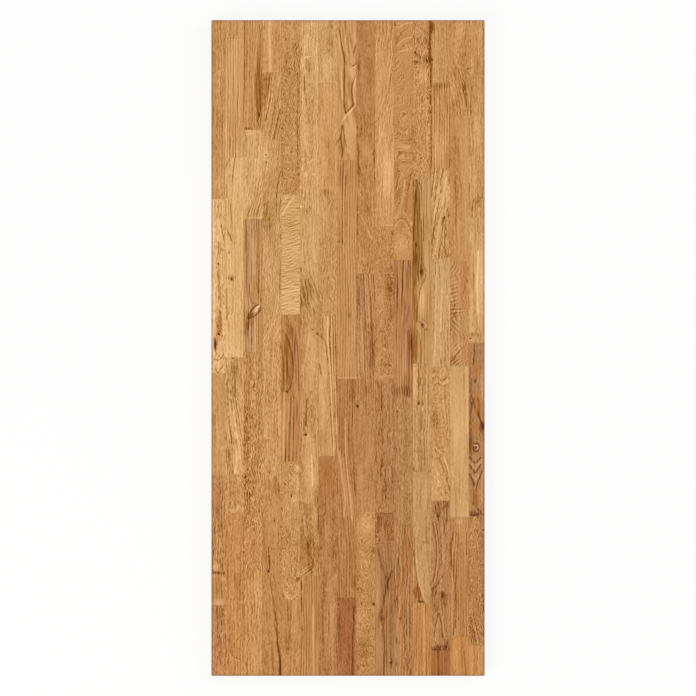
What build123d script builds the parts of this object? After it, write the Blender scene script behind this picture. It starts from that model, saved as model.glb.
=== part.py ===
import os

from build123d import *

os.makedirs("parts", exist_ok=True)

# A butcher block countertop: hardwood staves glued edge to edge in lanes, and butted end to end along
# each lane. Millimetres. Y runs along the top, X across it and Z up, and the origin is at the centre of
# the underside.

# The whole top
top_length = 1524.0  # 60 in
top_width = 635.0  # 25 in
top_thickness = 38.1  # 1 1/2 in
eased_edge = 2.0  # round-over on every outside edge and corner

# The lanes at both edges are ripped narrower than the others, which share the rest of the width
left_lane_width = 31.6
right_lane_width = 36.6

# The lengths of the staves in each lane, from the far end (+Y) to the near end, with the lanes in order
# from the left edge (-X) to the right. They fill a 1524 mm top. On a longer or shorter one, the longest
# stave of each lane takes up the difference.
lanes_of_stave_lengths = [
    [416, 404, 238, 100, 123, 79, 164],
    [43, 276, 465, 272, 90, 378],
    [255, 208, 309, 510, 242],
    [122, 626, 357, 419],
    [405, 280, 340, 322, 177],
    [452, 222, 617, 233],
    [145, 263, 279, 326, 511],
    [326, 508, 508, 182],
    [222, 368, 294, 259, 381],
    [479, 359, 307, 72, 307],
    [558, 318, 297, 351],
    [369, 429, 252, 304, 170],
    [145, 199, 212, 251, 310, 348, 59],
    [221, 340, 243, 351, 277, 92],
    [460, 290, 403, 111, 189, 71],
]

lane_count = len(lanes_of_stave_lengths)
full_lane_width = (top_width - left_lane_width - right_lane_width) / (lane_count - 2)
lane_widths = [left_lane_width] + [full_lane_width] * (lane_count - 2) + [right_lane_width]


def corner_box(x, y, width, length):
    """A box as thick as the top, standing on its underside, with its lowest corner at x and y."""
    box = Box(width, length, top_thickness, align=(Align.MIN, Align.MIN, Align.MIN))
    return Pos(x, y, 0) * box


# The glued-up top is sawn and eased as one panel, so each stave is the stretch of that panel between
# its two butt joints and its two glue lines.
panel = corner_box(-top_width / 2, -top_length / 2, top_width, top_length)
panel = fillet(panel.edges(), radius=eased_edge)

left = -top_width / 2
for number, (lane_width, stave_lengths) in enumerate(zip(lane_widths, lanes_of_stave_lengths), start=1):
    longest = stave_lengths.index(max(stave_lengths))
    stave_lengths[longest] += top_length - sum(stave_lengths)
    staves = []
    far_end = top_length / 2
    for stave_length in stave_lengths:
        near_end = far_end - stave_length
        stave = panel & corner_box(left, near_end, lane_width, stave_length)
        staves += stave.solids()
        far_end = near_end
    # Neighbours in a lane touch, so the first, third, fifth... stave go in one node and the others in
    # a second one.
    export_step(Compound(children=staves[0::2]), f"parts/lane_{number:02d}_odd_staves.step")
    export_step(Compound(children=staves[1::2]), f"parts/lane_{number:02d}_even_staves.step")
    left += lane_width
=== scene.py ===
import math

import bpy
import numpy as np
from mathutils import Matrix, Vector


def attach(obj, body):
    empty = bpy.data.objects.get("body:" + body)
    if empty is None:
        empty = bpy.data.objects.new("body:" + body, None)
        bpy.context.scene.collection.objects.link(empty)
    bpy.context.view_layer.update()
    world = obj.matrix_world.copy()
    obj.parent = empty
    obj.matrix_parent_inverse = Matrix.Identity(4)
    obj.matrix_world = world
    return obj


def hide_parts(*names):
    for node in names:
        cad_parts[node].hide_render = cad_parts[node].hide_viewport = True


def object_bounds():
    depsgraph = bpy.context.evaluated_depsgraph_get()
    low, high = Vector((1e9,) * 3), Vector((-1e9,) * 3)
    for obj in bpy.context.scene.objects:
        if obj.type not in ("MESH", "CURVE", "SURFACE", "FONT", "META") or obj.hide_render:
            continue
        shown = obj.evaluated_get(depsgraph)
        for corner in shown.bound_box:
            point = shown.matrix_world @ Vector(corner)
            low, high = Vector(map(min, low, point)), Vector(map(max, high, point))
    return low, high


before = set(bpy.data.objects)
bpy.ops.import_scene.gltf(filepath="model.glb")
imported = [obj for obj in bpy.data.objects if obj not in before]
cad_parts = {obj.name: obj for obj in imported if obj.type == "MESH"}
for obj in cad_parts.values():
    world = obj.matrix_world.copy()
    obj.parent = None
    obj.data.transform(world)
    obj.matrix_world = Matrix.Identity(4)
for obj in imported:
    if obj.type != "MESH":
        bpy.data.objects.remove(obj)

# A butcher block countertop, lying flat and seen from straight above. Every stave is a closed surface of
# its own, and its wood is worked out from where it lay in the log, so the figure on the worked face runs on
# over the edges and comes out as growth rings on the ends. Sizes are in mm until a mesh is written.

cad_low, cad_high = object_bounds()
MM = 0.001
LENGTH, WIDTH, THICKNESS = ((high - low) / MM for low, high in zip(
    (cad_low.y, cad_low.x, cad_low.z), (cad_high.y, cad_high.x, cad_high.z)))
EASED_EDGE = 2.0
LEFT_LANE, RIGHT_LANE = 31.6, 36.6
# Places nearer to each other than this count as one
TINY = 0.01

# Steps between the points of a surface: across a stave, along it, along it where a mark slants, and up it
STEP_ACROSS, STEP_ALONG, STEP_SLANTED, STEP_UP = 1.1, 4.0, 1.6, 12.0
# Places of the first points in from an eased edge and from a glue line
EASED_STEPS, GLUED_STEPS = (0.5, 1.0, 1.5, 2.0, 3.0, 4.0), (0.6,)
# Rows of points at a knot, in its half sizes from its middle
KNOT_STEPS = np.arange(-1.6, 1.61, 0.2)
# How far apart the points on the path of a line are. A line that runs this far across for each mm along is
# slanted, and the closer rows that it needs go on this far past both its ends
PATH_STEP, SLANTED, MARGIN = 1.2, 0.35, 2.0
# How much of the way a knot draws the grain to its middle, and how far that reaches across and along, in its
# half sizes
KNOT_PULL, PULL_ACROSS, PULL_ALONG = 0.8, 2.6, 3.4
# Painted shade on the eased edges is stronger than the dark glue lines, which count as 1, and reaches as far
# in as this
EDGE_SHADE, EDGE_SHADE_REACH = 1.9, 2.5
SHARP_ANGLE = math.radians(35)

# What the wood of a stave can show

# The body colour of each tone of oak. Its figure runs from paler to deeper than that by so much in red, green
# and blue, and no channel goes below the darkest
TONES = {
    "blond": "#DAAA70",
    "straw": "#D2A068",
    "honey": "#CD985F",
    "wheat": "#C59159",
    "amber": "#C2884E",
    "tan": "#C08A53",
    "biscuit": "#BC854F",
    "caramel": "#B47D49",
    "nut": "#AF7947",
    "umber": "#A87341",
    "russet": "#A36737",
}
PALER, DEEPER, DARKEST = (41, 40, 45), (-70, -72, -82), 4

# How a stave was sawn and what that shows. pith: where the middle of the log lay, across and up from the
# middle of the stave. lean: how much it moves across and up for each mm along the stave. ring: width of a
# ring. lines, streak and fleck: strength of the lines of growth, of long streaks and of short flecks. turn:
# angle in radians that the pattern is turned across the stave. curl: strength of waves in the grain.
FIGURE_KEYS = "pith", "lean", "ring", "lines", "streak", "fleck", "turn", "curl"
FIGURES = {name: dict(zip(FIGURE_KEYS, values)) for name, *values in (
    ("straight", (-150, -60), (0.0, 0.0), 5.2, 0.25, 0.55, 0.2, 0.0, 0.2),
    ("soft", (-120, -90), (0.0, 0.01), 5.2, 0.12, 0.5, 0.4, 0.0, 0.5),
    ("plain", (-90, -90), (0.0, 0.01), 5.2, 0.06, 0.35, 0.35, 0.0, 0.5),
    ("swirled", (-120, -60), (0.0, 0.0), 5.2, 0.1, 0.2, 0.75, 0.0, 1.9),
    ("silky", (-160, -10), (0.0, 0.0), 7.5, 0.2, 0.15, 0.4, 1.3, 2.6),
    ("crown", (0, -60), (0.0, 0.05), 5.6, 0.4, 0.4, 0.2, 0.0, 0.3),
    ("curly", (-60, -60), (0.0, 0.02), 5.6, 0.25, 0.2, 0.5, 0.0, 1.6),
)}


def line(depth, width, *points):
    """A dark line, or a pale one where depth is negative, along points (y, x). width: how far from its path
    it has faded to about a third."""
    return dict(kind="line", depth=depth, width=width, points=points)


def area(kind, depth, x, y, across, along, lean=0.0, **more):
    """A mark round a middle, with its half sizes. lean: mm across for each mm along."""
    return dict(kind=kind, depth=depth, at=(x, y), size=(across, along), lean=lean, **more)


def patch(depth, *place, lean=0.0):
    """A soft dark patch, or a pale one where depth is negative."""
    return area("patch", depth, *place, lean=lean)


def flush(depth, *place):
    """A soft reddish patch."""
    return area("flush", depth, *place)


def knot(*place, core=1.0, halo=0.5, sink=0.25):
    """A knot with a black core and a dark halo, which the grain runs round. sink: how low its middle lies."""
    return area("knot", core, *place, halo=halo, sink=sink)


def ripple(depth, x, y, across, along, pitch, slope):
    """A soft patch of dark and pale ripples across the grain, as in curly wood. pitch: how far apart they are
    along the stave. slope: how much they rise along it for each mm across."""
    return area("ripple", depth, x, y, across, along, pitch=pitch, slope=slope)


def stave(length, tone, figure, *marks, **changes):
    """A stave with its marks. Its changes take the place of what its figure says or of these values. flow:
    how far the grain has drifted across, as points (y, mm). shade: how much darker it is than its tone. red:
    how reddish it is, or how olive where negative. crisp: factor on its streaks and flecks."""
    own = dict(length=length, tone=tone, marks=marks, flow=(), shade=0.0, red=0.0, crisp=1.0)
    return {**own, **FIGURES[figure], **changes}


# The staves, lane by lane from the left, each lane from its far end (+Y). Marks are placed by x from the
# left side of the lane and by y from the middle of the top
LANES = [[  # Lane 1
    stave(416, "wheat", "soft", flush(0.5, 14, 705, 6, 18), flush(0.5, 14, 535, 7, 30),
        flush(0.4, 12, 432, 6, 22), patch(0.25, 24, 530, 5, 16), shade=-0.01, crisp=0.88, streak=0.45,
        fleck=0.46),
    stave(404, "blond", "plain", line(0.85, 1.1, (346, 12), (290, 22), (250, 29)),
        line(0.6, 0.9, (330, 9), (270, 17), (215, 27)), line(0.5, 3.0, (250, 17), (110, 19)),
        knot(16.5, 196, 2.2, 2.4, halo=0.3), flush(1.1, 18, 52, 9, 32), ripple(0.7, 18, 50, 9, 30, 6, 0.9),
        patch(-0.5, 28, 66, 2.5, 40), patch(0.35, 20, 55, 8, 26),
        line(1.0, 1.2, (86, 19), (66, 20), (50, 17)), line(0.9, 1.1, (72, 24), (54, 23), (38, 20)),
        line(0.9, 1.2, (60, 13), (44, 15), (28, 17)), knot(17, 32, 3.0, 2.6, halo=0.4),
        line(0.8, 1.1, (36, 14), (30, 20), (29, 26)), knot(9, 9, 3.4, 15, halo=0.5, sink=2.0),
        line(0.95, 1.0, (-14, 1), (-24, 6), (-29, 14)), line(0.95, 1.0, (-14, 29), (-23, 23), (-29, 14)),
        line(0.85, 1.2, (-38, 30), (-50, 20), (-57, 15)), line(0.85, 1.2, (-32, 3), (-46, 9), (-57, 14)),
        knot(15.5, -56, 1.8, 1.8, halo=0.2), patch(-0.35, 5, 100, 6, 160), shade=-0.1, red=-0.1, crisp=1.7,
        streak=0.3, fleck=0.42),
    stave(238, "wheat", "plain", shade=-0.03, crisp=0.84, streak=0.28, fleck=0.44),
    stave(100, "caramel", "soft", flush(0.5, 8, -350, 5, 26), patch(-0.25, 9, -348, 3, 22),
        patch(0.25, 16, -380, 5, 16), shade=-0.1, crisp=1.07, streak=0.45, fleck=0.52),
    stave(123, "biscuit", "straight", line(0.75, 1.3, (-396, 25), (-450, 24.5), (-512, 25)),
        line(0.45, 1.2, (-396, 16), (-440, 16), (-500, 13)), patch(-0.75, 8, -508, 7, 8), shade=0.03,
        crisp=1.47, streak=0.44, fleck=0.5),
    stave(79, "biscuit", "straight", patch(0.7, 12, -522, 24, 3.0), patch(0.5, 26, -524, 5, 4.5),
        patch(-0.5, 8, -529, 9, 3), patch(-0.6, 28, -536, 4, 5), line(0.6, 1.2, (-540, 24), (-582, 25)),
        line(0.35, 1.2, (-540, 13), (-580, 13)), patch(-0.65, 17, -591, 13, 8), shade=0.02, crisp=0.85,
        lines=0.12, streak=0.34, fleck=0.37),
    stave(164, "caramel", "soft", line(0.8, 1.1, (-600, 13), (-650, 13.5), (-700, 12)),
        line(0.8, 1.1, (-600, 24), (-660, 23)), flush(0.5, 16, -715, 9, 35), shade=-0.07, crisp=1.07,
        streak=0.43, fleck=0.63),
], [  # Lane 2
    stave(43, "honey", "plain", shade=-0.01, crisp=0.78, streak=0.26, fleck=0.46),
    stave(276, "honey", "straight", shade=-0.06, crisp=1.11),
    stave(465, "blond", "soft", flush(0.5, 4, 432, 5, 10), line(0.9, 0.9, (440, 11), (416, 0)),
        line(0.95, 1.2, (443, 24), (415, 20), (385, 16)), line(0.65, 1.0, (380, 2), (350, 5)),
        line(0.65, 1.0, (335, 12), (290, 16)), line(0.8, 1.2, (282, 2), (262, 10)),
        line(0.8, 1.2, (268, 8), (250, 16)), knot(10, 222, 1.5, 2, halo=0.3),
        knot(15.5, 160, 2.4, 2.2, halo=0.8), patch(0.45, 13, 164, 11, 5),
        line(1.1, 1.3, (136, 3), (100, 4), (66, 4)), shade=-0.03, crisp=0.68),
    stave(272, "honey", "soft", patch(0.25, 15, -75, 16, 50), knot(18.5, -24, 1.5, 1.5, halo=0.3),
        line(-1.0, 1.4, (-122, 10), (-170, 15), (-225, 24), (-245, 27), (-294, 23)),
        line(-0.8, 1.2, (-130, 19), (-180, 24), (-235, 34), (-260, 37)), patch(0.3, 6, -215, 8, 50),
        line(0.5, 1.2, (-200, 14), (-245, 18)), patch(0.2, 40, -225, 6, 50),
        line(0.8, 1.2, (-150, 13), (-190, 18), (-240, 27)), shade=-0.03, red=-0.12, crisp=1.46,
        flow=((-22, 0), (-130, 4), (-240, 18), (-294, 20))),
    stave(90, "wheat", "plain", patch(-0.65, 32, -302, 5, 3), patch(-0.6, 30, -371, 3, 7),
        patch(-0.6, 41, -376, 3, 8), patch(-0.3, 20, -378, 8, 6), shade=0.03, crisp=1.05, streak=0.25,
        fleck=0.55),
    stave(378, "amber", "soft", line(-0.5, 1.2, (-680, 22), (-705, 10), (-722, 20), (-727, 34)),
        line(0.5, 1.2, (-676, 30), (-700, 13), (-716, 19), (-722, 34)),
        line(0.4, 1.2, (-690, 34), (-715, 33)), shade=0.06, red=-0.03, crisp=0.84, streak=0.44, fleck=0.52),
], [  # Lane 3
    stave(255, "tan", "straight", line(0.35, 1.4, (762, 39), (700, 39), (640, 37)),
        line(0.4, 3.0, (660, 34), (600, 37), (552, 39)), patch(0.35, 36, 590, 9, 52),
        line(0.6, 1.4, (640, 28), (590, 30), (552, 34)), patch(0.25, 36, 665, 7, 45),
        flush(0.7, 36, 600, 9, 60), line(0.6, 1.0, (620, 28), (560, 28.5)),
        line(0.7, 1.2, (640, 35), (590, 37), (550, 37)), knot(36.5, 543, 2.4, 6.0, core=0.7, halo=0.5),
        line(0.4, 1.5, (532, 30), (509, 40)), patch(0.5, 8, 509, 12, 4), shade=-0.02, streak=0.49,
        fleck=0.44),
    stave(208, "straw", "soft", patch(0.4, 33, 325, 9, 28, lean=0.35),
        line(0.3, 1.5, (420, 42), (350, 30), (305, 14)), line(0.35, 1.5, (400, 30), (340, 22), (300, 4)),
        shade=-0.08, crisp=1.08, flow=((507, 0), (420, -1), (350, -12), (300, -22))),
    stave(309, "biscuit", "straight", line(0.45, 2.5, (299, 5), (200, 5), (120, 8)),
        line(0.45, 2.2, (299, 33), (200, 33), (130, 35)), line(-0.5, 3.0, (250, 20), (170, 24)),
        flush(0.35, 28, 135, 9, 25), line(0.75, 1.1, (147, 13), (118, 15), (104, 22), (101, 32)),
        line(0.5, 1.0, (150, 30), (120, 36), (106, 41)), patch(-3.2, 32.5, 95, 3.4, 4.2, lean=0.9),
        patch(-2.6, 28.5, 87, 3.2, 3.8, lean=0.9), line(1.3, 0.9, (97, 26), (91, 30), (87, 35)),
        line(1.15, 1.1, (92, 24), (86, 18), (77, 14)), line(1.0, 1.0, (86, 26), (80, 20), (73, 16)),
        patch(0.6, 6, 68, 8, 20), line(1.65, 1.2, (69, 10), (79, 12), (91, 20), (99, 30), (99, 36)),
        line(1.65, 1.2, (68, 12), (73, 22), (81, 33), (89, 38.4), (97, 37)),
        patch(0.5, 17, 75, 5, 7, lean=0.8), patch(0.85, 8, 50, 8, 20, lean=0.3),
        line(1.0, 1.3, (84, 17), (70, 13), (50, 10), (20, 9)), line(0.75, 1.2, (76, 24), (50, 20), (10, 19)),
        flush(0.6, 12, 62, 9, 14), line(-0.6, 2.0, (60, 26), (20, 27), (-8, 26)), shade=-0.06, red=-0.15,
        crisp=1.16, streak=0.43, fleck=0.3),
    stave(510, "tan", "swirled", knot(4, -301, 1.8, 2, halo=0.3), flush(0.6, 22, -470, 18, 45),
        patch(0.25, 6, -250, 8, 160), shade=0.03, crisp=1.27, streak=0.46, fleck=0.62, curl=1.0),
    stave(242, "honey", "soft", shade=0.14, crisp=0.65, streak=0.43, fleck=0.61),
], [  # Lane 4
    stave(122, "honey", "soft", line(-0.7, 1.8, (762, 17), (700, 17), (642, 18)), patch(0.25, 34, 700, 9, 50),
        flush(0.25, 40, 680, 6, 60), shade=-0.07, crisp=0.5, streak=0.42, fleck=0.8),
    stave(626, "wheat", "soft", patch(0.4, 6, 610, 11, 34, lean=0.25), flush(0.5, 7, 605, 10, 34),
        line(0.6, 1.6, (640, 20), (600, 12), (550, 3)), line(0.5, 1.4, (640, 30), (590, 20), (530, 8)),
        line(0.45, 2.2, (620, 43), (560, 30), (500, 16)),
        line(1.1, 1.3, (556, 43), (540, 38), (510, 32), (485, 27)), line(0.8, 1.2, (530, 43), (490, 34)),
        patch(-0.5, 8, 448, 9, 34), line(0.5, 1.0, (480, 13), (450, 15), (415, 13)),
        line(0.5, 1.0, (470, 3), (445, 2), (420, 5)), knot(8.5, 449, 1.9, 2.2, halo=0.2),
        knot(9.3, 431, 2.1, 2.4, halo=0.2), line(0.8, 1.2, (410, 42), (370, 33), (330, 30)),
        patch(0.4, 8, 310, 10, 40), line(0.7, 1.2, (345, 42), (305, 38), (290, 40)),
        line(0.4, 1.0, (230, 30), (190, 28)), line(0.5, 1.2, (220, 42), (170, 40), (120, 41)),
        line(-0.8, 1.0, (14, 1), (30, 10), (50, 20), (56, 26)), line(-0.8, 1.0, (22, 26), (36, 34), (50, 42)),
        line(-0.5, 1.0, (15, 30), (22, 36), (26, 41)), line(-0.3, 1.0, (100, 5), (130, 20), (165, 34)),
        flush(0.35, 24, 30, 14, 16), shade=-0.09, red=-0.03, crisp=1.11, streak=0.44, fleck=0.51,
        flow=((640, 0), (560, -8), (480, -26), (400, -34), (300, -40), (180, -38), (100, -45), (14, -60))),
    stave(357, "wheat", "plain", flush(0.75, 22, -322, 22, 16), line(-0.5, 1.2, (-254, 30), (-295, 30)),
        patch(0.4, 36, -330, 7, 16), shade=-0.04, crisp=1.45),
    stave(419, "biscuit", "plain", patch(-0.2, 22, -395, 16, 45), knot(27.5, -401, 1.7, 3.0, halo=0.3),
        line(0.55, 1.2, (-463, 15), (-500, 15)), line(1.55, 1.3, (-482, 15), (-505, 17), (-520, 14.5)),
        knot(14.5, -519, 2.2, 3.4, halo=0.3), line(0.3, 2.0, (-522, 16), (-570, 22), (-615, 30)),
        line(0.55, 1.3, (-612, 29), (-632, 32)), line(1.3, 1.3, (-630, 32), (-655, 33.5), (-688, 35)),
        line(1.55, 1.8, (-688, 35.5), (-715, 39.5), (-740, 41.5), (-762, 41.5)),
        patch(1.1, 42, -752, 3.5, 18), line(0.3, 1.0, (-610, 8), (-650, 14), (-690, 18)),
        line(0.25, 1.0, (-466, 22), (-468, 33)), line(0.2, 1.0, (-590, 2), (-660, 7), (-740, 9)),
        line(-0.25, 2.0, (-600, 20), (-660, 26), (-740, 31)), flush(0.25, 34, -580, 6, 20),
        flush(0.25, 27, -690, 8, 60), shade=0.05, crisp=0.77, streak=0.31, fleck=0.53,
        flow=((-343, 0), (-520, 0), (-610, 10), (-700, 17), (-762, 20))),
], [  # Lane 5
    stave(405, "tan", "swirled", line(0.6, 1.0, (640, 38), (560, 37), (400, 40)),
        patch(-0.2, 20, 735, 20, 24), streak=0.14, fleck=0.78),
    stave(280, "blond", "silky", line(-0.55, 1.1, (168, 2), (172, 20), (170, 42)),
        line(-0.55, 1.1, (141, 2), (144, 20), (141, 42)), line(-0.55, 1.1, (130, 2), (132, 20), (133, 42)),
        line(-0.55, 1.1, (119, 2), (123, 20), (119, 42)), line(-0.55, 1.1, (112, 2), (113, 20), (114, 42)),
        line(-0.55, 1.1, (102, 2), (105, 20), (103, 42)), line(-0.55, 1.1, (91, 2), (93, 20), (90, 42)),
        line(-0.6, 1.8, (310, 2), (330, 14), (350, 30)), line(-0.5, 1.4, (340, 3), (352, 14)),
        line(-0.4, 1.2, (222, 2), (226, 20), (236, 42)), line(-0.5, 1.2, (198, 4), (203, 18), (220, 42)),
        line(0.35, 1.0, (318, 2), (338, 16)), patch(0.15, 24, 285, 12, 22), shade=0.14, crisp=1.25,
        lines=0.12, fleck=0.3),
    stave(340, "caramel", "crown", patch(0.35, 12, -28, 17, 66),
        line(0.8, 1.2, (41, 1.5), (29, 11), (4, 20.3), (-28, 27), (-61, 27), (-93, 20.3), (-103, 13.5)),
        line(0.6, 1.1, (64, 1.7), (50, 15.6), (22, 27), (-15, 33.3), (-75, 35), (-121, 29.6)),
        line(0.5, 1.1, (76, 11), (50, 22.6), (18, 34.2), (-28, 39.8), (-98, 39.8)),
        line(-0.6, 1.1, (73, 25), (41, 36.5), (9, 41.2)),
        line(-0.5, 1.1, (60, 8), (36, 22), (0, 30), (-50, 36.5), (-110, 34)),
        line(-0.4, 1.0, (52, 4), (35, 12), (8, 24), (-30, 30.3), (-75, 31)),
        line(0.35, 1.1, (20, 2), (-10, 10), (-50, 16), (-80, 14)),
        line(0.35, 1.1, (0, 1), (-30, 6), (-60, 9)), line(0.6, 1.2, (-112, 18), (-168, 13), (-263, 9)),
        line(0.5, 1.2, (-112, 22.6), (-168, 20.3), (-263, 18)),
        line(0.6, 1.1, (-112, 29.6), (-168, 28.6), (-263, 27.2)), line(0.4, 1.0, (-130, 36), (-263, 34)),
        line(-0.7, 1.1, (-115, 18.5), (-175, 16), (-263, 14)),
        line(-0.7, 1.1, (-115, 26), (-175, 24.3), (-263, 22.6)),
        line(-0.9, 2.0, (-104, 7), (-180, 6), (-263, 5)), line(-0.4, 1.0, (-120, 33), (-263, 31)),
        knot(12, -101, 2.0, 2.4, halo=0.3), flush(0.2, 12, -20, 16, 66), shade=-0.03, crisp=1.1, lines=0.1,
        curl=0.1, pith=(-26, -50), lean=(0.0, 0.03)),
    stave(322, "wheat", "swirled", knot(23.3, -345, 1.7, 3.0, halo=0.2), patch(-0.7, 37, -280, 5, 8),
        patch(-0.5, 38, -315, 3, 26), patch(-0.6, 28, -352, 6, 8), patch(1.0, 38, -538, 4, 5),
        patch(0.6, 4, -574, 3, 6), line(-0.6, 1.2, (-574, 10), (-582, 22), (-572, 36)),
        patch(0.25, 14, -440, 10, 30), shade=0.04, crisp=1.08, fleck=0.6),
    stave(177, "amber", "plain", line(0.6, 1.6, (-587, 15), (-635, 16)),
        line(0.65, 1.6, (-587, 23), (-632, 22)), line(0.3, 1.5, (-640, 22), (-700, 14)),
        patch(0.25, 15, -680, 9, 30), shade=0.05, red=-0.08, crisp=1.11,
        flow=((-585, 0), (-660, -3), (-762, -8))),
], [  # Lane 6
    stave(452, "straw", "soft", line(-0.8, 1.2, (672, 2), (655, 10), (636, 13)),
        line(-0.8, 1.4, (676, 10), (677, 24)), patch(0.45, 18, 655, 8, 18), patch(0.45, 4, 690, 4, 12),
        line(0.6, 1.6, (632, 10), (590, 12), (566, 14)), line(-0.6, 1.2, (430, 17), (436, 30), (438, 38)),
        line(-0.7, 1.3, (404, 29), (405, 38)), line(0.4, 1.0, (445, 18), (442, 34)),
        patch(-0.5, 14, 403, 6, 5), patch(0.35, 16, 320, 4, 3), patch(0.2, 22, 320, 20, 12),
        patch(-0.8, 2, 328, 5, 4), flush(0.3, 30, 500, 12, 200), shade=-0.06, streak=0.43, fleck=0.52),
    stave(222, "honey", "soft", line(-0.5, 1.4, (305, 22), (270, 25), (230, 20)),
        line(-0.5, 1.4, (305, 34), (260, 30), (200, 34)), line(0.4, 1.2, (300, 4), (250, 8), (195, 11)),
        patch(0.55, 12, 128, 20, 38), line(0.85, 1.5, (186, 2), (165, 9), (148, 13)),
        line(0.7, 1.3, (176, 22), (150, 32), (118, 43)), line(0.7, 1.3, (160, 17), (130, 32), (108, 43)),
        line(0.6, 1.2, (148, 14), (120, 27), (92, 42)), line(0.6, 1.2, (136, 2), (118, 10)),
        knot(22, 104, 2.0, 3, core=0.5, halo=0.3), patch(0.9, 3, 100, 3, 14), patch(0.7, 33, 90, 4, 6),
        shade=-0.09, red=-0.15, crisp=0.76, streak=0.4, fleck=0.55,
        flow=((310, 0), (200, 2), (140, 12), (88, 26))),
    stave(617, "wheat", "plain", knot(29, 43, 1.8, 2.0, halo=0.2), knot(40, 33, 2.2, 2.2, halo=0.2),
        flush(0.7, 12, 58, 9, 10), flush(0.55, 8, -10, 9, 26), patch(-0.35, 26, -20, 18, 90),
        line(-0.55, 1.2, (30, 22), (-20, 14), (-55, 4)), flush(0.45, 8, -110, 9, 14),
        line(0.6, 3.0, (-120, 16), (-180, 13)), knot(14.6, -201, 2.8, 2.2, halo=0.4),
        line(0.9, 1.2, (-201, 9), (-203, 14)), patch(-0.8, 19, -203, 4, 5), patch(-0.55, 24, -280, 16, 70),
        line(-0.7, 1.6, (-250, 27), (-320, 29)), line(0.55, 1.2, (-254, 30), (-262, 30), (-275, 33)),
        line(1.15, 1.4, (-330, 40), (-360, 42), (-420, 42)), line(0.7, 1.0, (-330, 34), (-370, 37)),
        patch(0.25, 18, -470, 26, 46), flush(0.3, 14, -470, 12, 40), line(0.7, 1.1, (-445, 16), (-465, 19)),
        knot(17.5, -455, 1.3, 4.5, core=0.6, halo=0.2), patch(0.55, 4, -486, 4, 6),
        flush(0.35, 26, -490, 12, 20), ripple(0.35, 18, -514, 18, 13, 8, 0.7),
        line(0.55, 1.1, (-526, 10), (-515, 22), (-505, 34)),
        line(0.4, 1.4, (-380, 10), (-430, 20), (-480, 22)), shade=0.14, red=-0.06, crisp=1.1, streak=0.31,
        fleck=0.4, flow=((88, 0), (-300, 0), (-400, 4), (-529, 10))),
    stave(233, "biscuit", "straight", line(1.25, 1.3, (-545, 3), (-562, 4)),
        line(0.95, 1.2, (-580, 3), (-610, 5)), line(0.95, 1.2, (-650, 2), (-656, 6)),
        line(-0.7, 2.0, (-600, 30), (-762, 32)), flush(0.55, 20, -640, 8, 100), shade=0.08, crisp=0.5,
        streak=0.52, fleck=0.44),
], [  # Lane 7
    stave(145, "straw", "plain", flush(0.4, 22, 715, 12, 30), patch(-0.35, 22, 655, 12, 28),
        patch(0.35, 27, 748, 7, 5), line(-0.4, 1.2, (740, 8), (725, 12)),
        line(-0.7, 0.8, (618, 0), (618, 43.6)), shade=0.03, streak=0.31, fleck=0.42),
    stave(263, "honey", "soft", patch(0.4, 18, 362, 18, 7), line(0.6, 1.0, (490, 39), (470, 40)),
        flush(0.4, 32, 440, 10, 90), shade=-0.02, crisp=0.54, streak=0.4, fleck=0.66),
    stave(279, "wheat", "swirled", knot(14, 322, 1.3, 1.8, core=0.4, halo=0.2), shade=-0.03, crisp=0.79,
        streak=0.47, fleck=0.66, curl=1.0),
    stave(326, "wheat", "plain", patch(0.2, 9, 48, 5, 34),
        line(0.75, 1.4, (30, 2), (17, 13), (-20, 20), (-90, 25), (-170, 29.5), (-251, 33.5)),
        line(0.95, 1.5, (75, 26.5), (30, 25), (0, 26), (-30, 28), (-130, 33.7), (-251, 37.5)),
        line(0.95, 1.4, (75, 32.5), (0, 34), (-100, 36.5), (-251, 40.5)),
        line(0.9, 1.4, (75, 38), (20, 38.5), (-60, 41), (-160, 42.8)),
        line(-0.9, 1.6, (75, 22), (20, 21), (-10, 23.5), (-100, 28.5), (-251, 35.5)),
        line(-0.8, 1.3, (75, 29.5), (0, 30.5), (-120, 34), (-251, 38.8)),
        line(-0.7, 1.2, (75, 35.5), (-60, 37.8), (-200, 41.5)), knot(24.7, 0, 1.6, 2.2, core=0.7, halo=0.2),
        knot(37.4, 2, 1.6, 2.4, core=0.7, halo=0.2), line(0.8, 2.4, (-38, 1), (-60, 6)),
        line(0.3, 2.0, (-60, 6), (-140, 19)), patch(0.15, 9, -214, 14, 24), patch(-0.3, 8, -90, 9, 90),
        shade=-0.09, crisp=1.05, flow=((75, 0), (0, 1), (-100, 5), (-251, 10))),
    stave(511, "nut", "plain", flush(0.9, 16, -300, 22, 55), patch(-0.1, 30, -600, 14, 190),
        knot(1.2, -366, 1.6, 3, core=0.6), line(0.9, 1.2, (-438, 42), (-462, 43)),
        line(0.6, 1.0, (-445, 39), (-475, 37), (-490, 41)), line(0.5, 1.0, (-450, 36), (-490, 34)),
        line(-0.3, 3.2, (-596, 28), (-680, 32), (-762, 33)), line(0.4, 1.4, (-600, 24), (-690, 22)),
        line(-0.5, 0.8, (-505, 8), (-505, 42)), line(0.3, 1.6, (-400, 10), (-430, 6)), crisp=1.22),
], [  # Lane 8
    stave(326, "wheat", "crown", line(1.0, 1.3, (762, 4.5), (727, 6.5), (697, 11)),
        line(1.2, 1.6, (697, 11), (677, 15), (634, 16.3), (594, 15), (560, 16.3), (546, 18.5)),
        line(1.4, 1.4, (546, 18.5), (552, 25), (565, 36)),
        line(1.1, 1.4, (565, 36), (580, 34.5), (600, 33), (617, 36), (630, 41)), patch(0.3, 25.5, 594, 8, 40),
        line(-0.9, 1.3, (735, 1), (700, 5), (675, 9.5), (627, 9.5), (580, 11.3)),
        line(-0.9, 1.4, (626, 42), (605, 38), (580, 39), (566, 41.5)),
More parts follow.
